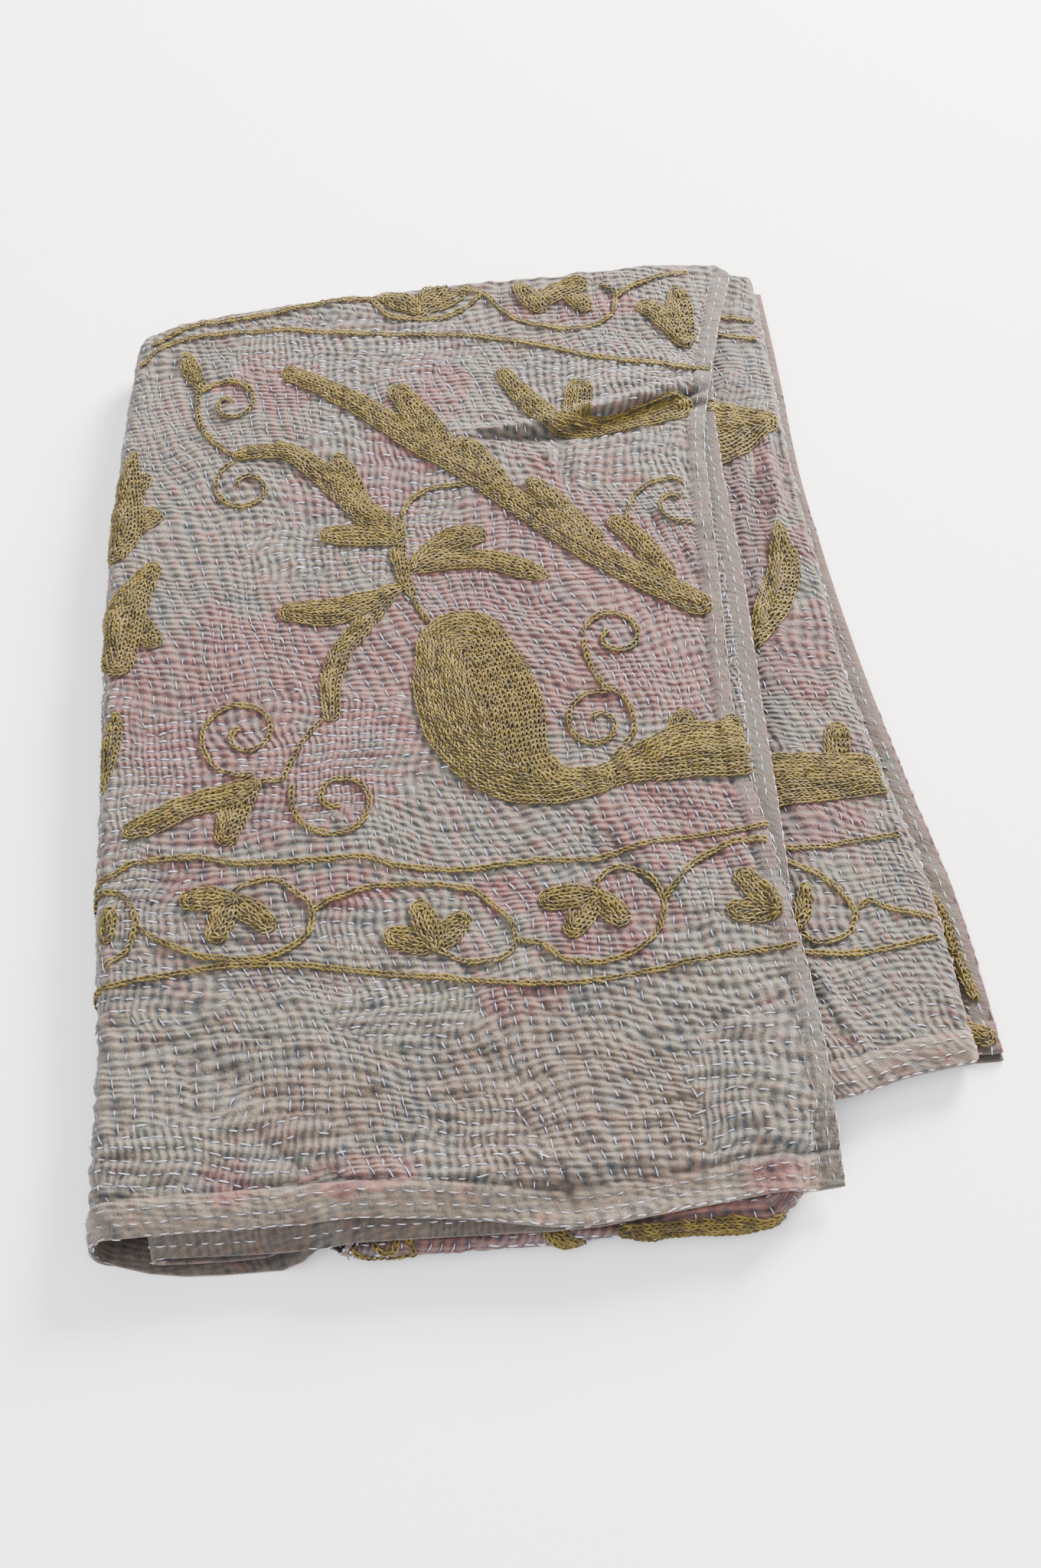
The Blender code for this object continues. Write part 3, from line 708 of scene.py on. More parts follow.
def cloth_fields():
    """The cloth's colour fields, each over the face, the wrong side and the rim."""
    x, y = MIDDLE[..., 0], MIDDLE[..., 1]
    back = ROW_AT[SECOND_ROW]
    rose, rust = patches(ROSE, x, y, 71), patches(RUST, x, y, 73)
    rose[COLUMN_AT[RUN_FIRST[3]]:, :ROW_AT[TURNED_ROWS + 1]] = 1.0
    piping = ease(*PIPING_WIDTH, FROM_SIDE)
    piping[:, :back] = 0.0
    smooth_band = IN_SIDE_BAND * mix(SMOOTH_LEAST, 1.0, ease(*SMOOTH_FROM, V))
    # Painted shade in the troughs of the puckers and in the hem groove, then on the second ply beside the hem
    # edges that lie over it
    shade = np.clip(-PUCKERED / FULL_SHADE, 0.0, 1.0) + GROOVE_SHADE * GROOVE
    way = np.clip((y - y[:, -1:]) / (y[:, back, None] - y[:, -1:]), 0.0, 1.0)
    for run, edge, reach in SHADED_UNDER_HEMS:
        part = (RUN_SPAN[run], slice(back, None))
        shade[part] = np.maximum(shade, ease(reach, 0.0, x + CENTRE[0] - side(edge, way)))[part]
    # Painted shade on the wrong side: inside the rolls at the front, and on the strip by the right hem as on
    # the face
    wrong_shade = INSIDE_SHADE * ease(*INSIDE_REACH, FROM_FRONT) * (U < INSIDE_RIGHT)
    part = (slice(0, COLUMN_AT[STRIP_COLUMNS + 1]), slice(back, None))
    wrong_shade[part] = np.maximum(wrong_shade, shade)[part]
    sideways, lengthways = stacked(A1, B1, 0.0), stacked(A2, B2, 0.0)
    dye = stacked(rose, rust, ease(*PLAIN_END, V))
    return {
        "sideways_rows": (sideways, sideways + STITCH_TURN, sideways),
        "lengthways_rows": (lengthways, lengthways + STITCH_TURN, lengthways),
        "zones": (stacked(SIDEWAYS, BAND, piping),) * 3,
        # folds: the painted shade, the side band's smooth share, and the front band, which gets painted light
        "folds": [stacked(depth, smooth_band, BAND * (1.0 - IN_SIDE_BAND))
                  for depth in (shade, wrong_shade, shade * RIM_SHADE)],
        "dye": (dye, stacked(rose * WRONG_ROSE, rust * WRONG_RUST, 1.0), dye),
    }


for name, sides_of_field in cloth_fields().items():
    values = np.concatenate([field.reshape(-1, 3) for field in sides_of_field])[CLOTH_USED]
    cloth_mesh.attributes.new(name, "FLOAT_VECTOR", "POINT").data.foreach_set("vector", values.ravel())
loop_vertex = np.empty(len(cloth_mesh.loops), int)
cloth_mesh.loops.foreach_get("vertex_index", loop_vertex)
flat_places = np.concatenate([np.stack((U, V), -1).reshape(-1, 2)] * 3)[CLOTH_USED][loop_vertex]
cloth_mesh.uv_layers.new(name="flat").data.foreach_set("uv", flat_places.ravel())

# Embroidery charted on the top panel: each leaf or lobe a spine of (x, y, half width)
TOP_FILLS = (
    ((-0.134, 0.271, 0.0071), (-0.092, 0.243, 0.0086), (-0.046, 0.201, 0.0103), (-0.007, 0.165, 0.0097),
     (0.032, 0.125, 0.0097), (0.070, 0.090, 0.0097), (0.103, 0.066, 0.0108), (0.128, 0.047, 0.0097)),
    ((-0.057, 0.246, 0.0082), (-0.043, 0.222, 0.0108), (-0.026, 0.186, 0.0108)),
    ((-0.014, 0.195, 0.0071), (-0.005, 0.181, 0.0092), (0.007, 0.154, 0.0092)),
    ((0.030, 0.154, 0.0071), (0.043, 0.138, 0.0092), (0.064, 0.107, 0.0092)),
    ((0.082, 0.119, 0.0065), (0.094, 0.104, 0.0082), (0.109, 0.075, 0.0082)),
    ((0.018, 0.258, 0.0065), (0.033, 0.233, 0.0082), (0.053, 0.209, 0.0092), (0.081, 0.204, 0.0086),
     (0.109, 0.210, 0.0103), (0.137, 0.218, 0.0119)),
    ((0.070, 0.239, 0.0097), (0.065, 0.213, 0.0103)),
    ((-0.209, 0.291, 0.0060), (-0.204, 0.279, 0.0071), (-0.196, 0.262, 0.0043)),
    ((-0.171, 0.200, 0.0049), (-0.144, 0.202, 0.0071), (-0.119, 0.185, 0.0092), (-0.099, 0.161, 0.0108),
     (-0.083, 0.138, 0.0103), (-0.065, 0.127, 0.0060)),
    ((-0.102, 0.191, 0.0060), (-0.097, 0.175, 0.0082), (-0.090, 0.151, 0.0086)),
    ((-0.111, 0.124, 0.0076), (-0.088, 0.122, 0.0092), (-0.066, 0.118, 0.0060)),
    ((-0.064, 0.128, 0.0049), (-0.066, 0.108, 0.0054), (-0.064, 0.088, 0.0043), (-0.060, 0.072, 0.0028)),
    ((-0.060, 0.091, 0.0038), (-0.044, 0.105, 0.0082), (-0.028, 0.114, 0.0097), (-0.013, 0.116, 0.0076)),
    ((-0.052, 0.093, 0.0060), (-0.032, 0.097, 0.0076), (-0.007, 0.095, 0.0076), (0.010, 0.088, 0.0082),
     (0.026, 0.079, 0.0054)),
    ((-0.066, 0.078, 0.0038), (-0.090, 0.068, 0.0082), (-0.115, 0.062, 0.0108), (-0.140, 0.064, 0.0082)),
    ((-0.074, 0.073, 0.0060), (-0.098, 0.044, 0.0071), (-0.109, 0.030, 0.0076), (-0.117, 0.002, 0.0071),
     (-0.117, -0.018, 0.0060)),
    ((-0.029, 0.024, 0.0320), (-0.026, 0.001, 0.0385), (-0.021, -0.026, 0.0400), (-0.011, -0.055, 0.0325),
     (0.006, -0.074, 0.0215), (0.026, -0.082, 0.0130), (0.049, -0.081, 0.0095)),
    ((0.046, -0.081, 0.0080), (0.068, -0.073, 0.0120), (0.087, -0.069, 0.0165), (0.112, -0.064, 0.0205),
     (0.140, -0.066, 0.0195)),
    ((0.106, -0.042, 0.0090), (0.098, -0.058, 0.0100)),
    ((0.136, -0.047, 0.0080), (0.128, -0.060, 0.0090)),
    ((-0.169, -0.066, 0.0065), (-0.185, -0.072, 0.0086), (-0.209, -0.077, 0.0082),
     (-0.229, -0.086, 0.0082), (-0.245, -0.091, 0.0060)),
    ((-0.172, -0.071, 0.0071), (-0.180, -0.084, 0.0092), (-0.185, -0.099, 0.0082)),
    ((-0.249, 0.204, 0.0038), (-0.251, 0.174, 0.0097), (-0.254, 0.141, 0.0151), (-0.260, 0.122, 0.0076)),
    ((-0.252, 0.164, 0.0076), (-0.237, 0.183, 0.0060)),
    ((-0.253, 0.141, 0.0097), (-0.231, 0.151, 0.0086)),
    ((-0.231, 0.105, 0.0071), (-0.244, 0.087, 0.0130), (-0.254, 0.063, 0.0162), (-0.256, 0.035, 0.0119)),
    ((-0.247, 0.072, 0.0097), (-0.231, 0.049, 0.0076)),
    ((-0.257, -0.007, 0.0038), (-0.258, -0.019, 0.0060), (-0.261, -0.044, 0.0043),
     (-0.264, -0.060, 0.0022)),
    ((-0.257, -0.146, 0.0043), (-0.258, -0.153, 0.0060), (-0.259, -0.163, 0.0038)),
)
# More leaves along the back fold
BACK_FILLS = (
    ((-0.067, 0.339, 0.0045), (-0.053, 0.332, 0.0088), (-0.040, 0.323, 0.0060)),
    ((-0.044, 0.325, 0.0060), (-0.034, 0.336, 0.0088), (-0.025, 0.344, 0.0060)),
    ((-0.040, 0.324, 0.0060), (-0.026, 0.330, 0.0075), (-0.012, 0.337, 0.0065)),
    ((0.033, 0.340, 0.0050), (0.040, 0.330, 0.0080), (0.047, 0.321, 0.0068)),
    ((0.047, 0.325, 0.0070), (0.060, 0.334, 0.0088), (0.076, 0.341, 0.0078)),
    ((0.064, 0.337, 0.0050), (0.073, 0.328, 0.0078), (0.079, 0.319, 0.0072)),
    ((0.124, 0.314, 0.0072), (0.136, 0.303, 0.0092), (0.150, 0.279, 0.0065)),
    ((0.149, 0.327, 0.0075), (0.149, 0.310, 0.0105), (0.151, 0.281, 0.0075)),
)
# Trefoils: where the three lobes meet, then each lobe's tip; all lobes swell to the same half width
TREFOILS = (
    ((-0.183, -0.143), (-0.208, -0.142), (-0.192, -0.165), (-0.163, -0.161)),
    ((-0.062, -0.186), (-0.070, -0.161), (-0.047, -0.170), (-0.087, -0.177)),
    ((0.036, -0.160), (0.008, -0.160), (0.021, -0.181), (0.049, -0.177)),
    ((0.144, -0.180), (0.128, -0.157), (0.120, -0.179)),
)
LOBE_HALF = 0.0084
TOP_LINES = (
    ((-0.290, -0.128), (-0.262, -0.123), (-0.239, -0.113), (-0.209, -0.113), (-0.174, -0.120),
     (-0.141, -0.121), (-0.109, -0.121), (-0.076, -0.131), (-0.038, -0.135), (-0.002, -0.133),
     (0.037, -0.136), (0.058, -0.132), (0.088, -0.127), (0.119, -0.125), (0.148, -0.121)),
    ((-0.290, -0.200), (-0.257, -0.194), (-0.223, -0.190), (-0.192, -0.187), (-0.152, -0.189),
     (-0.109, -0.197), (-0.066, -0.206), (-0.042, -0.210), (-0.007, -0.215), (0.022, -0.216),
     (0.059, -0.214), (0.096, -0.209), (0.153, -0.203)),
    ((-0.285, -0.140), (-0.262, -0.131), (-0.253, -0.133), (-0.244, -0.143), (-0.241, -0.153),
     (-0.243, -0.164), (-0.245, -0.171), (-0.258, -0.180)),
    ((-0.241, -0.157), (-0.223, -0.169), (-0.195, -0.181), (-0.167, -0.184), (-0.147, -0.177),
     (-0.136, -0.166), (-0.135, -0.155), (-0.143, -0.143), (-0.159, -0.132), (-0.177, -0.135),
     (-0.184, -0.141)),
    ((-0.135, -0.155), (-0.121, -0.148), (-0.092, -0.142), (-0.063, -0.144), (-0.038, -0.149),
     (-0.026, -0.161), (-0.016, -0.174), (-0.014, -0.186), (-0.025, -0.197), (-0.041, -0.198),
     (-0.054, -0.193), (-0.063, -0.186)),
    ((-0.014, -0.182), (-0.008, -0.187), (0.001, -0.189), (0.013, -0.200), (0.030, -0.205),
     (0.053, -0.201), (0.069, -0.190), (0.077, -0.172), (0.073, -0.156), (0.062, -0.146), (0.051, -0.143),
     (0.039, -0.150), (0.035, -0.160)),
    ((0.075, -0.170), (0.085, -0.159), (0.095, -0.147), (0.110, -0.138), (0.130, -0.131), (0.145, -0.132)),
    ((-0.246, 0.288), (-0.229, 0.303), (-0.195, 0.312), (-0.139, 0.313), (-0.107, 0.307), (-0.055, 0.301),
     (-0.019, 0.299), (0.016, 0.292), (0.050, 0.282), (0.083, 0.270), (0.126, 0.259), (0.165, 0.250)),
    ((-0.238, 0.306), (-0.200, 0.323), (-0.156, 0.328), (-0.111, 0.336), (-0.075, 0.338)),
    ((-0.008, 0.343), (0.006, 0.338), (0.018, 0.322), (0.030, 0.310), (0.046, 0.303), (0.068, 0.297),
     (0.088, 0.301), (0.101, 0.313), (0.103, 0.330), (0.092, 0.340)),
    ((-0.075, 0.336), (-0.060, 0.318), (-0.035, 0.315), (-0.010, 0.322), (0.006, 0.338)),
    ((0.101, 0.324), (0.113, 0.334), (0.133, 0.343), (0.158, 0.350)),
    ((-0.197, 0.263), (-0.199, 0.246), (-0.195, 0.224), (-0.184, 0.209), (-0.173, 0.198)),
    ((-0.063, 0.133), (-0.054, 0.150), (-0.037, 0.158), (-0.016, 0.159)),
    ((-0.064, 0.082), (-0.060, 0.072), (-0.056, 0.060), (-0.050, 0.049)),
    ((-0.121, -0.018), (-0.136, -0.037), (-0.146, -0.055), (-0.151, -0.064), (-0.166, -0.063)),
    ((0.049, 0.024), (0.050, 0.011), (0.052, 0.000), (0.055, -0.007), (0.059, -0.015)),
    ((0.059, -0.015), (0.067, -0.019), (0.073, -0.031), (0.074, -0.044), (0.066, -0.057), (0.057, -0.067)),
    ((0.090, 0.120), (0.093, 0.132), (0.099, 0.142), (0.112, 0.151), (0.127, 0.153), (0.134, 0.147)),
)
# Curls: centre, first and last radius, first and last angle
TOP_CURLS = (
    (-0.176, 0.246, 0.0233, 0.0014, 140, -327),
    (-0.166, 0.172, 0.0234, 0.0062, 110, 523),
    (0.070, 0.025, 0.0216, 0.0065, 172, -229),
    (0.051, -0.039, 0.0233, 0.0037, 71, 514),
    (0.126, 0.133, 0.0190, 0.0036, -68, -301),
    (-0.173, -0.027, 0.0316, 0.0048, -82, -592),
    (-0.116, -0.080, 0.0299, 0.0047, 157, 637),
)
SECOND_FILLS = (
    ((0.148, 0.203, 0.0280), (0.168, 0.208, 0.0230), (0.190, 0.213, 0.0110)),
    ((0.187, 0.122, 0.0025), (0.187, 0.092, 0.0105), (0.177, 0.062, 0.0120), (0.158, 0.028, 0.0060)),
    ((0.149, -0.078, 0.0199), (0.179, -0.077, 0.0181), (0.209, -0.077, 0.0158), (0.231, -0.081, 0.0117)),
    ((0.201, -0.045, 0.0081), (0.199, -0.060, 0.0090)),
    ((0.163, -0.156, 0.0041), (0.160, -0.170, 0.0054), (0.155, -0.182, 0.0023)),
)
SECOND_LINES = (
    ((0.160, 0.300), (0.178, 0.294), (0.196, 0.292)),
    ((0.160, 0.318), (0.180, 0.312), (0.197, 0.309)),
    ((0.152, -0.128), (0.176, -0.127), (0.198, -0.124), (0.228, -0.121)),
    ((0.154, -0.198), (0.181, -0.200), (0.205, -0.198), (0.240, -0.192)),
    ((0.153, -0.136), (0.173, -0.147), (0.186, -0.160), (0.192, -0.172), (0.189, -0.182), (0.179, -0.190),
     (0.166, -0.192), (0.157, -0.186)),
    ((0.192, -0.172), (0.201, -0.165), (0.214, -0.171), (0.240, -0.179)),
)
LOWEST_FILLS = (
    ((0.231, -0.129, 0.0045), (0.234, -0.150, 0.0081), (0.244, -0.174, 0.0077), (0.251, -0.201, 0.0041),
     (0.257, -0.229, 0.0032)),
    ((0.250, -0.251, 0.0063), (0.259, -0.255, 0.0063)),
)
# On the turned-up front: across in x, and the distance from the hidden hem over the turn
FRONT_FILLS = (
    ((0.030, 0.026, 0.0035), (0.060, 0.030, 0.0075), (0.095, 0.031, 0.0085), (0.122, 0.033, 0.0050)),
    ((-0.010, 0.024, 0.0040), (0.000, 0.031, 0.0060), (0.008, 0.037, 0.0035)),
)
FRONT_LINES = (
    ((-0.120, 0.022), (-0.112, 0.032), (-0.098, 0.037), (-0.086, 0.030), (-0.090, 0.020)),
    ((-0.108, 0.022), (-0.104, 0.028), (-0.098, 0.028), (-0.095, 0.021)),
)
ROW_PITCH, LINK, OVERLAP = 0.0031, 0.0037, 1.30
FILL_WIDTH, LINE_WIDTH, YARN_LIFT = 0.0032, 0.0034, 0.0004
LOBE_BASE, LOBE_TIP = 0.0041, 0.85
SPINE_STEP, CURVE_STEPS, CURL_STEPS, CAP_STEPS = 0.0010, 200, 24, 9
# A row is laid on the spine where more than this share of a row is left over for more than that many steps
GAP_SHARE, GAP_STEPS = 0.45, 3
# Sewn by hand: how far a link strays sideways, turns and varies in size, and how near two links may lie
STRAY, TURN_STRAY, SIZE_STRAY, MOST_STRAY, NEAREST = 0.00018, 0.11, 0.10, 2, 0.62


def curve(points, step):
    """A smooth curve through points, read at even steps; further columns are carried along."""
    table = np.array(points, float)
    past = np.concatenate(([0.0], np.cumsum(np.linalg.norm(np.diff(table[:, :2], axis=0), axis=1))))
    fine = np.linspace(0.0, past[-1], CURVE_STEPS)
    columns = [through(list(zip(past, column)), fine) for column in table.T]
    length = np.concatenate(([0.0], np.cumsum(np.hypot(np.diff(columns[0]), np.diff(columns[1])))))
    count = max(2, int(round(length[-1] / step)) + 1)
    at = np.linspace(0.0, length[-1], count)
    return np.stack([np.interp(at, length, column) for column in columns], -1)


def spiral(row):
    """Points of a curl from its outer end to its middle."""
    cx, cy, outer, inner, start, end = row
    turn = np.radians(np.linspace(start, end, CURL_STEPS))
    radius = np.linspace(outer, inner, CURL_STEPS)
    return np.stack((cx + radius * np.cos(turn), cy + radius * np.sin(turn)), -1)


def filled(points):
    """Rows round inside a lobe, each a row pitch further in, and one on the spine where a gap is left."""
    spine = curve(points, SPINE_STEP)
    ahead = unit(np.gradient(spine[:, :2], axis=0))
    over = np.stack((-ahead[:, 1], ahead[:, 0]), -1)
    widest = spine[:, 2].max()
    count = max(1, round(widest / ROW_PITCH))
    pitch = widest / count
    angle = np.linspace(0.0, np.pi, CAP_STEPS)[1:-1, None]
    rows = []
    for inset in (np.arange(count) + 0.5) * pitch:
        inside = np.nonzero(spine[:, 2] > inset)[0]
        first, last = inside[0], inside[-1]
        half = np.maximum(spine[first:last + 1, 2] - inset, 0.0)[:, None]
        near = spine[first:last + 1, :2] + over[first:last + 1] * half
        far = spine[first:last + 1, :2] - over[first:last + 1] * half
        end_cap = spine[last, :2] + half[-1] * (np.cos(angle) * over[last] + np.sin(angle) * ahead[last])
        start_cap = spine[first, :2] - half[0] * (np.cos(angle) * over[first] + np.sin(angle) * ahead[first])
        rows.append(np.concatenate((near, end_cap, far[::-1], start_cap, near[:1])))
    left_over = (spine[:, 2] + pitch / 2) % pitch
    gaps = np.nonzero(left_over > GAP_SHARE * pitch)[0]
    for stretch in np.split(gaps, np.nonzero(np.diff(gaps) > 1)[0] + 1):
        if len(stretch) > GAP_STEPS:
            rows.append(spine[stretch, :2])
    return rows


def resampled(loop, step):
    """A polyline read at even steps."""
    length = np.concatenate(([0.0], np.cumsum(np.linalg.norm(np.diff(loop, axis=0), axis=1))))
    at = np.linspace(0.0, length[-1], max(2, int(round(length[-1] / step)) + 1))
    return np.stack([np.interp(at, length, loop[:, k]) for k in range(2)], -1)


# Panels of the chart: the chart's coordinates over the grid, and the grid's columns and rows in it
PANELS = {
    "top": (U, V, slice(0, COLUMN_AT[RUN_FIRST[1]] + 1), slice(0, ROW_AT[SECOND_ROW] + 1)),
    "second": (MIDDLE[..., 0], MIDDLE[..., 1], RUN_SPAN[1], slice(ROW_AT[SECOND_ROW], None)),
    "lowest": (MIDDLE[..., 0], MIDDLE[..., 1], RUN_SPAN[3], slice(ROW_AT[SECOND_ROW], None)),
    "turned": (MIDDLE[..., 0], PAST_ROWS, RUN_SPAN[3], slice(0, ROW_AT[TURNED_ROWS + 1])),
}


# How many grid steps from the nearest grid point a charted point may be
ON_CHART = 1.5


def on_grid(panel, points):
    """Grid places of charted points: the nearest grid point, then one step by the chart's slope there."""
    key_u, key_v, columns, rows = PANELS[panel]
    chart = np.stack((key_u[columns, rows], key_v[columns, rows]), -1)
    finder = KDTree(chart[..., 0].size)
    for k, (u, v) in enumerate(chart.reshape(-1, 2).tolist()):
        finder.insert((u, v, 0.0), k)
    finder.balance()
    nearest = np.array([finder.find((u, v, 0.0))[1] for u, v in points.tolist()])
    i, j = np.divmod(nearest, chart.shape[1])
    per_column, per_row = np.gradient(chart, axis=0)[i, j], np.gradient(chart, axis=1)[i, j]
    missing = points - chart[i, j]
    cross = per_column[:, 0] * per_row[:, 1] - per_column[:, 1] * per_row[:, 0]
    step_i = (missing[:, 0] * per_row[:, 1] - missing[:, 1] * per_row[:, 0]) / cross
    step_j = (missing[:, 1] * per_column[:, 0] - missing[:, 0] * per_column[:, 1]) / cross
    near = (np.abs(step_i) < ON_CHART) & (np.abs(step_j) < ON_CHART)
    return i + columns.start + np.clip(step_i, -1, 1), j + rows.start + np.clip(step_j, -1, 1), near


def sampled(field, i, j):
    """Reads a grid field between its points."""
    low_i = np.clip(i.astype(int), 0, field.shape[0] - 2)
    low_j = np.clip(j.astype(int), 0, field.shape[1] - 2)
    s, t = (i - low_i)[:, None], (j - low_j)[:, None]
    return ((field[low_i, low_j] * (1 - s) + field[low_i + 1, low_j] * s) * (1 - t)
            + (field[low_i, low_j + 1] * (1 - s) + field[low_i + 1, low_j + 1] * s) * t)


def chain_links(panel, rows, width):
    """Links of chain stitch along charted rows: place, direction, up and size of each."""
    starts = np.concatenate([row[:-1] for row in rows])
    ends = np.concatenate([row[1:] for row in rows])
    (i0, j0, near), (i1, j1, also_near) = on_grid(panel, starts), on_grid(panel, ends)
    start, end = sampled(FACE, i0, j0), sampled(FACE, i1, j1)
    up = unit(sampled(NORMALS, (i0 + i1) / 2, (j0 + j1) / 2))
    length = np.linalg.norm(end - start, axis=1)
    size = np.stack((length * OVERLAP, np.full_like(length, width), np.full_like(length, width)), -1)
    keep = near & also_near & (length < 2 * LINK)
    shift = np.random.default_rng(len(rows)).normal(0.0, 1.0, (len(length), 3))
    along = unit(end - start)
    over = np.cross(up, along)
    place = (start + end) / 2 + up * YARN_LIFT + over * STRAY * shift[:, :1]
    along = unit(along + over * TURN_STRAY * shift[:, 1:2])
    size *= 1.0 + SIZE_STRAY * np.clip(shift[:, 2:3], -MOST_STRAY, MOST_STRAY)
    return np.concatenate((place, along, up, size), 1)[keep]


def thinned(links, apart):
    """Leaves out each link that is nearer than that to an earlier one."""
    cells = {}
    kept = []
    for k, (x, y, z) in enumerate(links[:, :3].tolist()):
        home = (math.floor(x / apart), math.floor(y / apart), math.floor(z / apart))
        around = [cells.get((home[0] + a, home[1] + b, home[2] + c), ())
                  for a in (-1, 0, 1) for b in (-1, 0, 1) for c in (-1, 0, 1)]
        if all((x - p) ** 2 + (y - q) ** 2 + (z - r) ** 2 > apart * apart
               for cell in around for p, q, r in cell):
            cells.setdefault(home, []).append((x, y, z))
            kept.append(k)
    return links[kept]


def embroidery():
    """All links: fills, then lines, without those on the floor or too near to an earlier one."""
    trefoils = [(base + (LOBE_BASE,), ((base[0] + tip[0]) / 2, (base[1] + tip[1]) / 2, LOBE_HALF),
                 tip + (LOBE_HALF * LOBE_TIP,))
                for base, *tips in TREFOILS for tip in tips]
    fills = {"top": TOP_FILLS + BACK_FILLS + tuple(trefoils), "second": SECOND_FILLS, "lowest": LOWEST_FILLS,
             "turned": FRONT_FILLS}
    lines = {"top": TOP_LINES + tuple(spiral(row) for row in TOP_CURLS), "second": SECOND_LINES,
             "turned": FRONT_LINES}
    links = []
    for panel, shapes in fills.items():
        rows = [resampled(row, LINK) for shape in shapes for row in filled(shape)]
        links.append(chain_links(panel, rows, FILL_WIDTH))
    links += [chain_links(panel, [curve(shape, LINK) for shape in shapes], LINE_WIDTH)
              for panel, shapes in lines.items()]
    laid = np.concatenate(links)
    return thinned(laid[laid[:, 2] > LOWEST_STITCH], ROW_PITCH * NEAREST)


# Running stitches
# Length, width and height of a stitch of each kind, and the lowest that one is laid over the floor
SIDEWAYS_STITCH, LENGTHWAYS_STITCH = (0.0036, 0.00078, 0.0011), (0.0036, 0.00072, 0.0011)
LOWEST_STITCH = 0.0030
# Sewn by hand: how far a stitch strays along and across, how it turns, its sizes, and how many are lost
ALONG_STRAY, OVER_STRAY, STITCH_STRAY, LOST = 0.07, 0.00035, 0.10, 0.03
SIZE_RANGE = ((0.75, 0.85, 0.85), (1.22, 1.15, 1.15))
# Where both ways of sewing overlap, and how near the yarn a stitch may be
ZONE_LAP, CLEAR_OF_YARN = 0.14, 0.0026
HEM_STEP, FRONT_HEM_ROW, SIDE_HEM_ROW = 0.0086, 0.0074, 0.0064


LINKS = embroidery()


def fine_mask(mask):
    """The base cells' mask for each fine cell."""
    return np.repeat(np.repeat(mask, np.diff(COLUMN_AT), 0), np.diff(ROW_AT), 1)


def stitches(counts, allowed, points, up, size, seed):
    """Stitches where both counts are whole, as place, direction, up and size, each a little uneven."""
    a, b = counts
    a_s, a_t = a[1:, :-1] - a[:-1, :-1], a[:-1, 1:] - a[:-1, :-1]
    b_s, b_t = b[1:, :-1] - b[:-1, :-1], b[:-1, 1:] - b[:-1, :-1]
    to_a = np.round(a[:-1, :-1] + (a_s + a_t) / 2) - a[:-1, :-1]
    to_b = np.round(b[:-1, :-1] + (b_s + b_t) / 2) - b[:-1, :-1]
    cross = a_s * b_t - a_t * b_s
    cross = np.where(np.abs(cross) < 1e-9, 1e-9, cross)
    s, t = (to_a * b_t - to_b * a_t) / cross, (to_b * a_s - to_a * b_s) / cross
    i, j = np.nonzero((s >= 0) & (s < 1) & (t >= 0) & (t < 1) & allowed)
    along = ((points[i + 1, j] - points[i, j]) * (b_t / cross)[i, j, None]
             - (points[i, j + 1] - points[i, j]) * (b_s / cross)[i, j, None])
    place = sampled(points, i + s[i, j], j + t[i, j])
    upward = unit(up[i, j])
    rng = np.random.default_rng(seed)
    over = np.cross(upward, unit(along))
    shift = rng.normal(0.0, 1.0, (len(i), 3))
    place = place + along * ALONG_STRAY * shift[:, :1] + over * OVER_STRAY * shift[:, 1:2]
    along = unit(unit(along) + over * STITCH_STRAY * shift[:, 2:3])
    sizes = np.array(size) * rng.uniform(*SIZE_RANGE, (len(i), 3))
    kept = rng.uniform(size=len(i)) > LOST
    return np.concatenate((place, along, upward, sizes), 1)[kept]


def all_stitches():
    """The running stitches by kind, without those that the embroidery covers."""
    finder = KDTree(len(LINKS))
    for k, place in enumerate(LINKS[:, :3].tolist()):
        finder.insert(place, k)
    finder.balance()
    zone, band = SIDEWAYS[:-1, :-1], BAND[:-1, :-1] > 0.5
    in_side = (FROM_SIDE < SIDE_BAND)[:-1, :-1]
    in_front = (FROM_FRONT < FRONT_BAND)[:-1, :-1] & ~in_side
    off_turn = np.ones_like(band)
    off_turn[:, BACK - 1:ROW_AT[SECOND_ROW] + 1] = False
    kinds = {"sideways_stitches": [], "lengthways_stitches": []}
    sides = ((FACE, NORMALS, SHOWN[0], 0.0), (WRONG, -NORMALS, SHOWN[1], STITCH_TURN[0]))
    for number, (points, up, mask, turn) in enumerate(sides):
        shown = fine_mask(mask) & off_turn
        tasks = (
            ("sideways_stitches", (A1, B1), ~band & (zone > 0.5 - ZONE_LAP), SIDEWAYS_STITCH),
            ("lengthways_stitches", (A2, B2), ~band & (zone < 0.5 + ZONE_LAP), LENGTHWAYS_STITCH),
            ("sideways_stitches", (U / HEM_STEP, FROM_FRONT / FRONT_HEM_ROW), in_front, SIDEWAYS_STITCH),
            ("lengthways_stitches", (V / HEM_STEP, FROM_SIDE / SIDE_HEM_ROW), in_side, LENGTHWAYS_STITCH),
        )
        for task, (kind, (along, rows), part, size) in enumerate(tasks):
            found = stitches((along + turn, rows), shown & part, points, up, size, 100 + 10 * number + task)
            free = np.array([finder.find(place)[2] > CLEAR_OF_YARN for place in found[:, :3].tolist()], bool)
            kinds[kind].append(found[free & (found[:, 2] > LOWEST_STITCH)])
    return {kind: np.concatenate(found) for kind, found in kinds.items()}


# Materials
def linear(hex_colour):
    """An sRGB hex colour as linear RGBA."""
    channels = [int(hex_colour[k:k + 2], 16) / 255 for k in (0, 2, 4)]
    return tuple(c / 12.92 if c <= 0.04045 else ((c + 0.055) / 1.055) ** 2.4 for c in channels) + (1.0,)


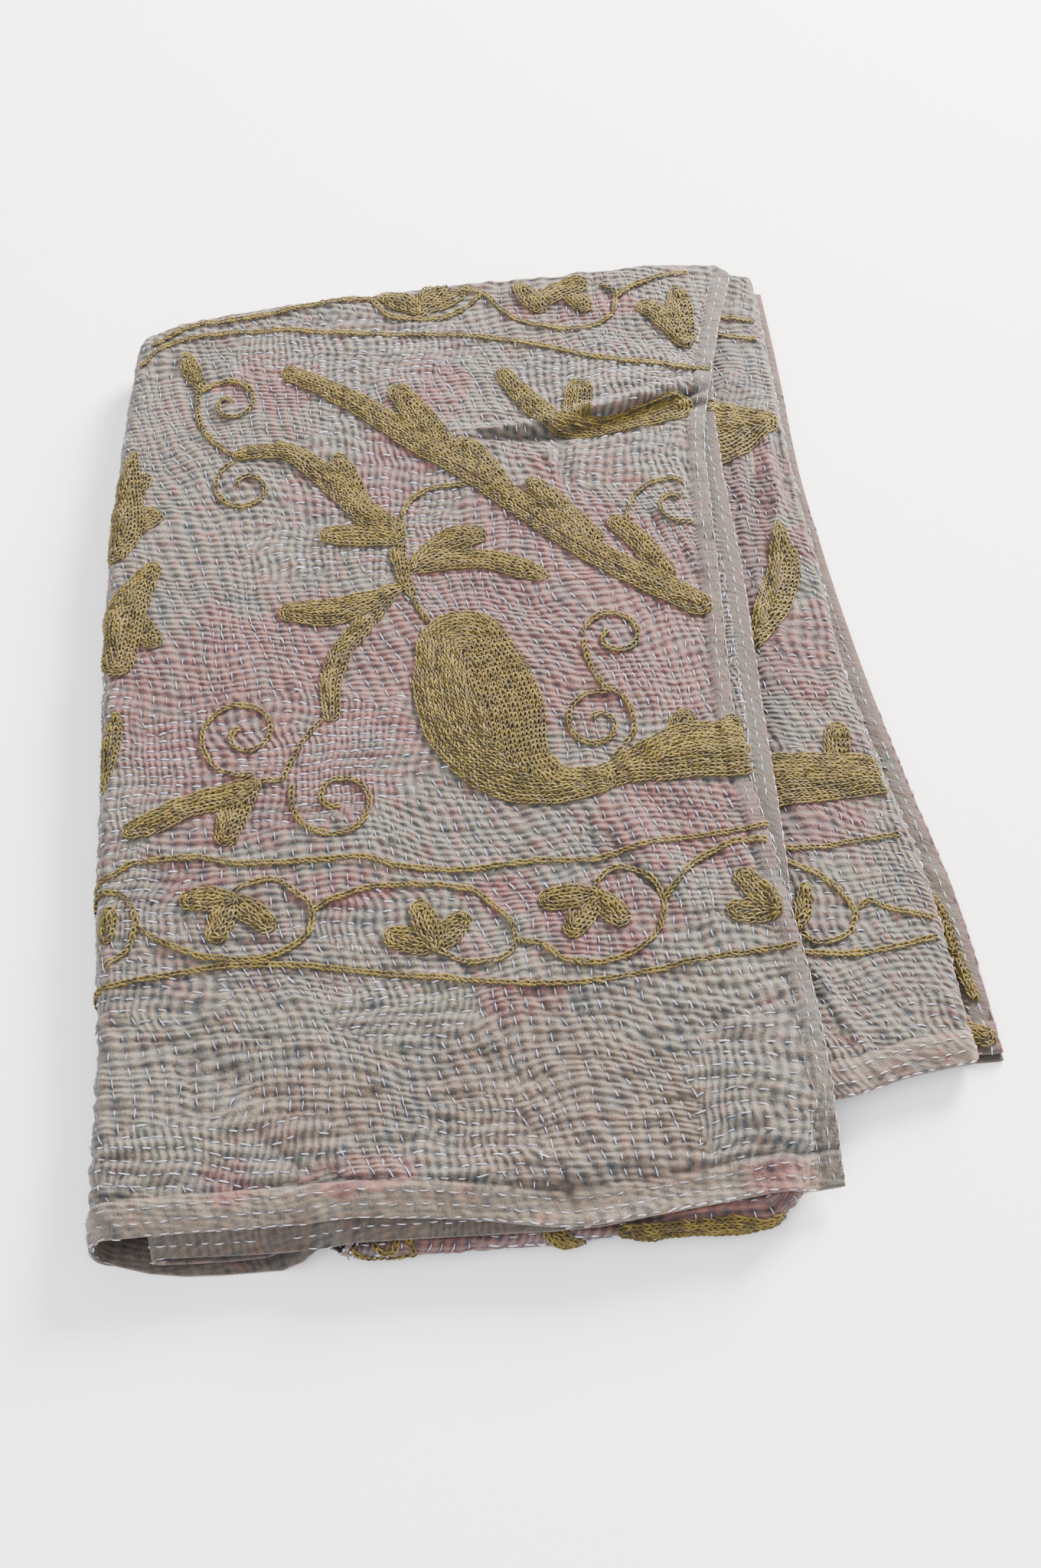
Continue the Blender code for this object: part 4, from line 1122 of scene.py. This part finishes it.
def add(tree, kind, settings=None, links=None):
    """Adds a node with its settings: an input's value by its name or number, or a property by its name."""
    node = tree.nodes.new(kind)
    for key, value in (settings or {}).items():
        if isinstance(key, str) and hasattr(node, key):
            setattr(node, key, value)
    for key, value in (settings or {}).items():
        if not (isinstance(key, str) and hasattr(node, key)):
            node.inputs[key].default_value = value
    for key, source in (links or {}).items():
        tree.links.new(source, node.inputs[key])
    return node


def new_material(name, **surface):
    """A material and its tree and shader, with the shader's own values set; _ stands for a space."""
    material = bpy.data.materials.new(name)
    material.use_nodes = True
    shader = material.node_tree.nodes["Principled BSDF"]
    for key, value in surface.items():
        shader.inputs[key.replace("_", " ")].default_value = value
    return material, material.node_tree, shader


def plain_material(name, colour):
    return new_material(name, Base_Color=linear(colour), Roughness=0.9)[0]


# The cloth's dyes, each darker at the stitches and paler on the ridges between them: partly wear from
# washing, partly painted shade of the quilting's relief
DYES_WITH_RIB_SHADE = (("1f2326", "675c4e"), ("27181f", "68433c"), ("281e1a", "624b3d"))
BAND_DYE, PIPING_DYE = "3a322a", "47221f"
# Tints over the dyes: where each starts and is full, its strength, and what it keeps of red, green and blue;
# the last two are painted shade and painted light
TINTS = (
    ("mauve", 0.96, 1.22, 1.0, (1.10, 0.82, 0.92)),
    ("blue", 1.00, 0.74, 1.0, (0.80, 0.92, 1.06)),
    ("green", 0.50, 0.75, 1.0, (0.86, 0.97, 0.93)),
    # Painted shade in the troughs, the hem groove, beside the hems and inside the rolls
    ("painted_shade", 0.0, 1.0, 0.85, (0.26, 0.23, 0.25)),
    # Painted light on the front hem band, which faces away from the window light
    ("hem", 0.0, 1.0, 1.0, (1.50, 1.38, 1.30)),
)
# Pattern sizes in millimetres, and how far each pattern is stretched sideways
PATTERNS = {"cloud": (34.0, 1.0), "mottle": (8.0, 1.0), "slub": (3.0, 2.4), "warp": (3.0, 0.4),
            "fibre": (0.9, 1.0), "across": (9.0, 3.2), "upright": (30.0, 0.28)}
UNEVEN_SIZE = 11.0
RIB_SHARES = ((0.22, -0.26, 0.0), (0.34, -0.18, 0.0))
RIB_TURNS, RIB_DRIFT = (4 * math.pi, 2 * math.pi, 0.0), (0.34, 0.50, 0.0)
# How much each pattern adds to the wear, and the sum of painted rib shade and wear at the deepest and at the
# palest tone
WEAR = (("cloud", 0.9), ("mottle", 1.0), ("slub", 0.9), ("warp", 0.8), ("fibre", 0.6))
WEAR_RANGE = (-0.55, 0.60)
# How the bands calm the ribs, and how far the side band's own dye covers
BAND_CALM, SIDE_CALM, SIDE_COVER = -0.5, -0.42, 0.72
# Fraying of the dye patches by the plaid and the mottle, then the range and the strength of each dye
PLAID_FRAY, PLAID_MIDDLE, MOTTLE_FRAY = 1.5, -2.10, 1.2
DYE_RANGE, DYE_STRENGTHS, PLAIN_CALM = (0.10, 0.95), (0.92, 0.55), -0.22
RIB_BUMP, BUMP_DEPTH = 1.1, 0.0008
MATH, VECTOR, RANGE, MIX = "ShaderNodeMath", "ShaderNodeVectorMath", "ShaderNodeMapRange", "ShaderNodeMix"
NOISE, NAMED = "ShaderNodeTexNoise", "ShaderNodeAttribute"
MIX_A, MIX_B, MIX_OUT = 6, 7, 2


def cloth_material():
    """Hand-dyed plain-weave cotton, matt from many washes: paler ridges and darker stitches, partly wear and
    partly painted shade; painted shade in troughs, under hems and inside the rolls; painted light on the
    front hem.
    """
    material, tree, shader = new_material("washed_hand_dyed_cotton", Roughness=0.88, IOR=1.45,
                                          Sheen_Weight=0.12, Sheen_Roughness=0.6)
    flat = add(tree, "ShaderNodeUVMap", {"uv_map": "flat"}).outputs[0]
    pattern = {}
    for name, (size, stretch) in PATTERNS.items():
        scale = (1000 / size / stretch, 1000 / size, 1.0)
        scaled = add(tree, VECTOR, {"operation": "MULTIPLY", 1: scale}, {0: flat}).outputs[0]
        pattern[name] = add(tree, NOISE, {"Scale": 1.0, "Detail": 2.0, "Roughness": 0.6},
                            {"Vector": scaled}).outputs["Fac"]
    named = {name: add(tree, NAMED, {"attribute_name": name}).outputs["Vector"]
             for name in ("zones", "dye", "folds", "lengthways_rows", "sideways_rows")}
    zones, dye, folds = (add(tree, "ShaderNodeSeparateXYZ", None, {0: named[name]}).outputs
                         for name in ("zones", "dye", "folds"))

    # Ribs between the stitches, paler on the ridges and darker at the stitches, partly wear and partly
    # painted shade, and the wear patterns that add to them
    scaled = add(tree, VECTOR, {"operation": "SCALE", "Scale": 1000 / UNEVEN_SIZE}, {0: flat}).outputs[0]
    shaken = add(tree, NOISE, {"Scale": 1.0, "Detail": 1.0}, {"Vector": scaled}).outputs["Color"]
    drift = add(tree, VECTOR, {"operation": "SUBTRACT", 1: (0.5, 0.5, 0.5)}, {0: shaken}).outputs[0]
    ribs = []
    for name, shares in zip(("lengthways_rows", "sideways_rows"), RIB_SHARES):
        counts = add(tree, VECTOR, {"operation": "MULTIPLY_ADD", 1: RIB_DRIFT}, {0: drift, 2: named[name]})
        turns = add(tree, VECTOR, {"operation": "MULTIPLY", 1: RIB_TURNS}, {0: counts.outputs[0]})
        waves = add(tree, VECTOR, {"operation": "COSINE"}, {0: turns.outputs[0]})
        ribs.append(add(tree, VECTOR, {"operation": "DOT_PRODUCT", 1: shares},
                        {0: waves.outputs[0]}).outputs["Value"])
    rib = add(tree, MIX, None, {0: zones[0], 2: ribs[0], 3: ribs[1]}).outputs[0]
    calm = add(tree, MATH, {"operation": "MULTIPLY_ADD", 1: BAND_CALM, 2: 1.0}, {0: zones[1]}).outputs[0]
    calm = add(tree, MATH, {"operation": "MULTIPLY_ADD", 1: SIDE_CALM}, {0: folds[1], 2: calm}).outputs[0]
    rib_shade_and_wear = rib = add(tree, MATH, {"operation": "MULTIPLY"}, {0: rib, 1: calm}).outputs[0]
    for name, share in WEAR:
        centred = add(tree, MATH, {"operation": "MULTIPLY_ADD", 1: share, 2: -share / 2}, {0: pattern[name]})
        rib_shade_and_wear = add(tree, MATH, {"operation": "ADD"}, {0: rib_shade_and_wear, 1: centred.outputs[0]}).outputs[0]
    tone = add(tree, RANGE, dict(zip((1, 2), WEAR_RANGE)), {0: rib_shade_and_wear}).outputs[0]

    # Dyes: grey green, with rose and rust in frayed patches
    plaid = add(tree, MATH, {"operation": "ADD"}, {0: pattern["across"], 1: pattern["upright"]}).outputs[0]
    fray = add(tree, MATH, {"operation": "MULTIPLY_ADD", 1: PLAID_FRAY, 2: PLAID_MIDDLE},
               {0: plaid}).outputs[0]
    fray = add(tree, MATH, {"operation": "MULTIPLY_ADD", 1: MOTTLE_FRAY},
               {0: pattern["mottle"], 2: fray}).outputs[0]
    frayed = []
    for share, strength in zip(dye, DYE_STRENGTHS):
        summed = add(tree, MATH, {"operation": "ADD"}, {0: share, 1: fray}).outputs[0]
        frayed.append(add(tree, RANGE, {1: DYE_RANGE[0], 2: DYE_RANGE[1], 4: strength},
                          {0: summed}).outputs[0])
    levels = []
    for plain, rose, rust in zip(*([linear(colour) for colour in pair] for pair in DYES_WITH_RIB_SHADE)):
        rosy = add(tree, MIX, {"data_type": "RGBA", MIX_A: plain, MIX_B: rose}, {0: frayed[0]})
        levels.append(add(tree, MIX, {"data_type": "RGBA", MIX_B: rust},
                          {0: frayed[1], MIX_A: rosy.outputs[MIX_OUT]}).outputs[MIX_OUT])
    colour = add(tree, MIX, {"data_type": "RGBA"},
                 {0: tone, MIX_A: levels[0], MIX_B: levels[1]}).outputs[MIX_OUT]
    band = add(tree, MATH, {"operation": "MULTIPLY", 1: SIDE_COVER}, {0: folds[1]}).outputs[0]
    for share, over in ((band, BAND_DYE), (zones[2], PIPING_DYE)):
        colour = add(tree, MIX, {"data_type": "RGBA", MIX_B: linear(over)},
                     {0: share, MIX_A: colour}).outputs[MIX_OUT]

    # Tints of the overdye, then painted shade in the troughs, under the hems and inside the rolls, and
    # painted light on the front hem
    streaks = add(tree, MATH, {"operation": "MULTIPLY_ADD", 1: PLAIN_CALM}, {0: dye[2], 2: plaid}).outputs[0]
    sources = {"mauve": streaks, "blue": plaid, "green": pattern["cloud"], "painted_shade": folds[0], "hem": folds[2]}
    for name, start, end, most, tint in TINTS:
        share = add(tree, RANGE, {1: start, 2: end, 4: most}, {0: sources[name]}).outputs[0]
        colour = add(tree, MIX, {"data_type": "RGBA", "blend_type": "MULTIPLY", MIX_B: tint + (1.0,)},
                     {0: share, MIX_A: colour}).outputs[MIX_OUT]
    tree.links.new(colour, shader.inputs["Base Color"])
    rise = add(tree, MATH, {"operation": "MULTIPLY_ADD", 1: RIB_BUMP}, {0: rib, 2: rib_shade_and_wear}).outputs[0]
    bump = add(tree, "ShaderNodeBump", {"Strength": 1.0, "Distance": BUMP_DEPTH}, {"Height": rise})
    tree.links.new(bump.outputs[0], shader.inputs["Normal"])
    return material


# Yarn and thread: the fibres' share of the tone, the tone's range, and how deep the fibres are
FIBRE_SHARE, TONE_RANGE, YARN_BUMP = 0.8, (0.15, 1.35), 0.0003


def yarn_material(name, dark, light, size, roughness):
    """Spun cotton: fine fibres, a soft matt surface, and a tone that varies by stitch."""
    material, tree, shader = new_material(name, Roughness=roughness, IOR=1.50, Sheen_Weight=0.08)
    place = add(tree, "ShaderNodeTexCoord").outputs["Object"]
    fibre = add(tree, NOISE, {"Scale": 1000 / size, "Detail": 2.0}, {"Vector": place}).outputs["Fac"]
    tone = add(tree, NAMED, {"attribute_name": "tone"}).outputs["Fac"]
    mixed = add(tree, MATH, {"operation": "MULTIPLY_ADD", 1: FIBRE_SHARE}, {0: fibre, 2: tone}).outputs[0]
    share = add(tree, RANGE, dict(zip((1, 2), TONE_RANGE)), {0: mixed}).outputs[0]
    colour = add(tree, MIX, {"data_type": "RGBA", MIX_A: linear(dark), MIX_B: linear(light)}, {0: share})
    tree.links.new(colour.outputs[MIX_OUT], shader.inputs["Base Color"])
    bump = add(tree, "ShaderNodeBump", {"Strength": 0.7, "Distance": YARN_BUMP}, {"Height": fibre})
    tree.links.new(bump.outputs[0], shader.inputs["Normal"])
    return material


# Stitches as geometry: a strand is a bend through three places, in shares of the stitch's size
RUNNING_STRANDS = (((-0.5, 0.0, -0.5), (0.0, 0.0, 1.1), (0.5, 0.0, -0.5)),)
# The values that each stitch's point carries, besides its place
LABELS = ("along", "up", "size")
UNEVENNESS = 0.08
CHAIN_STRANDS = (((-0.50, 0.06, 0.05), (0.10, 0.56, 0.85), (0.50, 0.34, -0.35)),
                 ((-0.50, -0.06, 0.05), (0.10, -0.56, 0.85), (0.50, -0.34, -0.35)))


def stitch_maker(name, strands, radius, steps):
    """A node tree that lays one stitch on each point, turned and sized by the point's own values."""
    tree = bpy.data.node_groups.new(name, "GeometryNodeTree")
    for label, kind in (("Points", "NodeSocketGeometry"), ("Yarn", "NodeSocketMaterial"),
                        ("Unevenness", "NodeSocketFloat"), ("Seed", "NodeSocketInt")):
        tree.interface.new_socket(label, in_out="INPUT", socket_type=kind)
    tree.interface.new_socket("Stitches", in_out="OUTPUT", socket_type="NodeSocketGeometry")
    given = add(tree, "NodeGroupInput").outputs
    ring = add(tree, "GeometryNodeCurvePrimitiveCircle", {"Resolution": 3, "Radius": radius}).outputs["Curve"]
    along = add(tree, "GeometryNodeSplineParameter").outputs["Factor"]
    half_turn = add(tree, MATH, {"operation": "MULTIPLY", 1: math.pi}, {0: along})
    swell = add(tree, MATH, {"operation": "SINE"}, {0: half_turn.outputs[0]})
    thickness = add(tree, MATH, {"operation": "MULTIPLY_ADD", 1: 0.5, 2: 0.5}, {0: swell.outputs[0]})
    joined = add(tree, "GeometryNodeJoinGeometry")
    for start, middle, end in strands:
        bend = add(tree, "GeometryNodeCurveQuadraticBezier", {"Resolution": steps, "Start": start,
                                                              "Middle": middle, "End": end}).outputs[0]
        swelled = add(tree, "GeometryNodeSetCurveRadius", None,
                      {"Curve": bend, "Radius": thickness.outputs[0]})
        solid = add(tree, "GeometryNodeCurveToMesh", {"Fill Caps": True},
                    {"Curve": swelled.outputs[0], "Profile Curve": ring})
        tree.links.new(solid.outputs[0], joined.inputs[0])
    along, up, size = (add(tree, "GeometryNodeInputNamedAttribute", {"data_type": "FLOAT_VECTOR",
                                                                     "Name": label}).outputs[0]
                       for label in LABELS)
    turn = add(tree, "FunctionNodeAlignRotationToVector", {"axis": "X", "pivot_axis": "AUTO"},
               {"Vector": along})
    turn = add(tree, "FunctionNodeAlignRotationToVector", {"axis": "Z", "pivot_axis": "X"},
               {"Vector": up, "Rotation": turn.outputs[0]}).outputs[0]
    low = add(tree, MATH, {"operation": "SUBTRACT", 0: 1.0}, {1: given["Unevenness"]})
    high = add(tree, MATH, {"operation": "ADD", 0: 1.0}, {1: given["Unevenness"]})
    chance = add(tree, "FunctionNodeRandomValue", {"data_type": "FLOAT"},
                 {2: low.outputs[0], 3: high.outputs[0], "Seed": given["Seed"]}).outputs[1]
    sized = add(tree, VECTOR, {"operation": "SCALE"}, {0: size, "Scale": chance})
    laid = add(tree, "GeometryNodeInstanceOnPoints", None, {
        "Points": given["Points"], "Instance": joined.outputs[0], "Rotation": turn,
        "Scale": sized.outputs[0]})
    real = add(tree, "GeometryNodeRealizeInstances", None, {0: laid.outputs[0]})
    smooth = add(tree, "GeometryNodeSetShadeSmooth", None, {0: real.outputs[0]})
    coloured = add(tree, "GeometryNodeSetMaterial", None,
                   {"Geometry": smooth.outputs[0], "Material": given["Yarn"]})
    add(tree, "NodeGroupOutput", None, {0: coloured.outputs[0]})
    return tree


def lay_stitches(name, tree, rows, material, seed):
    """A mesh piece with a stitch on each row of place, direction, up and size."""
    mesh = bpy.data.meshes.new(name)
    mesh.from_pydata(rows[:, :3].tolist(), [], [])
    for k, label in enumerate(LABELS):
        values = rows[:, 3 * k + 3:3 * k + 6]
        mesh.attributes.new(label, "FLOAT_VECTOR", "POINT").data.foreach_set("vector", values.ravel())
    tones = np.random.default_rng(seed).uniform(0.0, 1.0, len(rows))
    mesh.attributes.new("tone", "FLOAT", "POINT").data.foreach_set("value", tones)
    piece = bpy.data.objects.new(name, mesh)
    bpy.context.scene.collection.objects.link(piece)
    modifier = piece.modifiers.new("stitches", "NODES")
    modifier.node_group = tree
    given = {"Yarn": material, "Unevenness": UNEVENNESS, "Seed": seed}
    for item in tree.interface.items_tree:
        if item.in_out == "INPUT" and item.name in given:
            modifier[item.identifier] = given[item.name]
    depsgraph = bpy.context.evaluated_depsgraph_get()
    result = bpy.data.meshes.new_from_object(piece.evaluated_get(depsgraph), depsgraph=depsgraph)
    piece.modifiers.clear()
    piece.data = result
    for label in LABELS:
        if label in result.attributes:
            result.attributes.remove(result.attributes[label])
    return piece


cloth_mesh.materials.append(cloth_material())
running_maker = stitch_maker("running_stitch", RUNNING_STRANDS, 0.5, 4)
chain_maker = stitch_maker("chain_stitch", CHAIN_STRANDS, 0.21, 3)
thread = yarn_material("bleached_cotton_thread", "7b7a8d", "c8c8d8", 0.5, 0.70)
yarn = yarn_material("olive_dyed_cotton_yarn", "201a04", "695818", 0.8, 0.85)
pieces = [lay_stitches(kind, running_maker, rows, thread, 5) for kind, rows in all_stitches().items()]
third = math.ceil(len(LINKS) / 3)
pieces += [lay_stitches(name, chain_maker, LINKS[k * third:(k + 1) * third], yarn, 9 + k)
           for k, name in enumerate(("embroidery_first", "embroidery_middle", "embroidery_last"))]

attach(cloth, "root")
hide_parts("quilt")
for piece in pieces:
    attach(piece, "root")

# The floor, the light and the camera
bpy.ops.mesh.primitive_plane_add(size=8.0)
floor = bpy.context.object
floor.name = "floor"
floor.data.materials.append(plain_material("white_floor", "fcfbfa"))


def add_light(name, place, aim, size, power, colour):
    lamp = bpy.data.lights.new(name, "AREA")
    lamp.size = size
    lamp.energy = power
    lamp.color = linear(colour)[:3]
    holder = bpy.data.objects.new(name, lamp)
    holder.location = place
    holder.rotation_euler = (Vector(aim) - Vector(place)).to_track_quat("-Z", "Y").to_euler()
    bpy.context.scene.collection.objects.link(holder)


add_light("window_light", (1.8, 2.3, 1.35), (0, 0, 0), 1.2, 780, "fff8f0")
add_light("room_light", (-1.2, -0.6, 2.4), (0, 0, 0), 2.4, 55, "f4f6ff")
world = bpy.data.worlds.new("studio")
bpy.context.scene.world = world
world.use_nodes = True
world.node_tree.nodes["Background"].inputs["Color"].default_value = linear("f4f4f6")
world.node_tree.nodes["Background"].inputs["Strength"].default_value = 2.0

camera_data = bpy.data.cameras.new("camera")
camera_data.lens = 45.0
camera_data.sensor_width = 36.0
camera = bpy.data.objects.new("camera", camera_data)
camera.location = (-0.0524, -0.6837, 1.09)
camera.rotation_euler = (math.radians(30), 0, math.radians(-4.5))
bpy.context.scene.collection.objects.link(camera)
bpy.context.scene.camera = camera
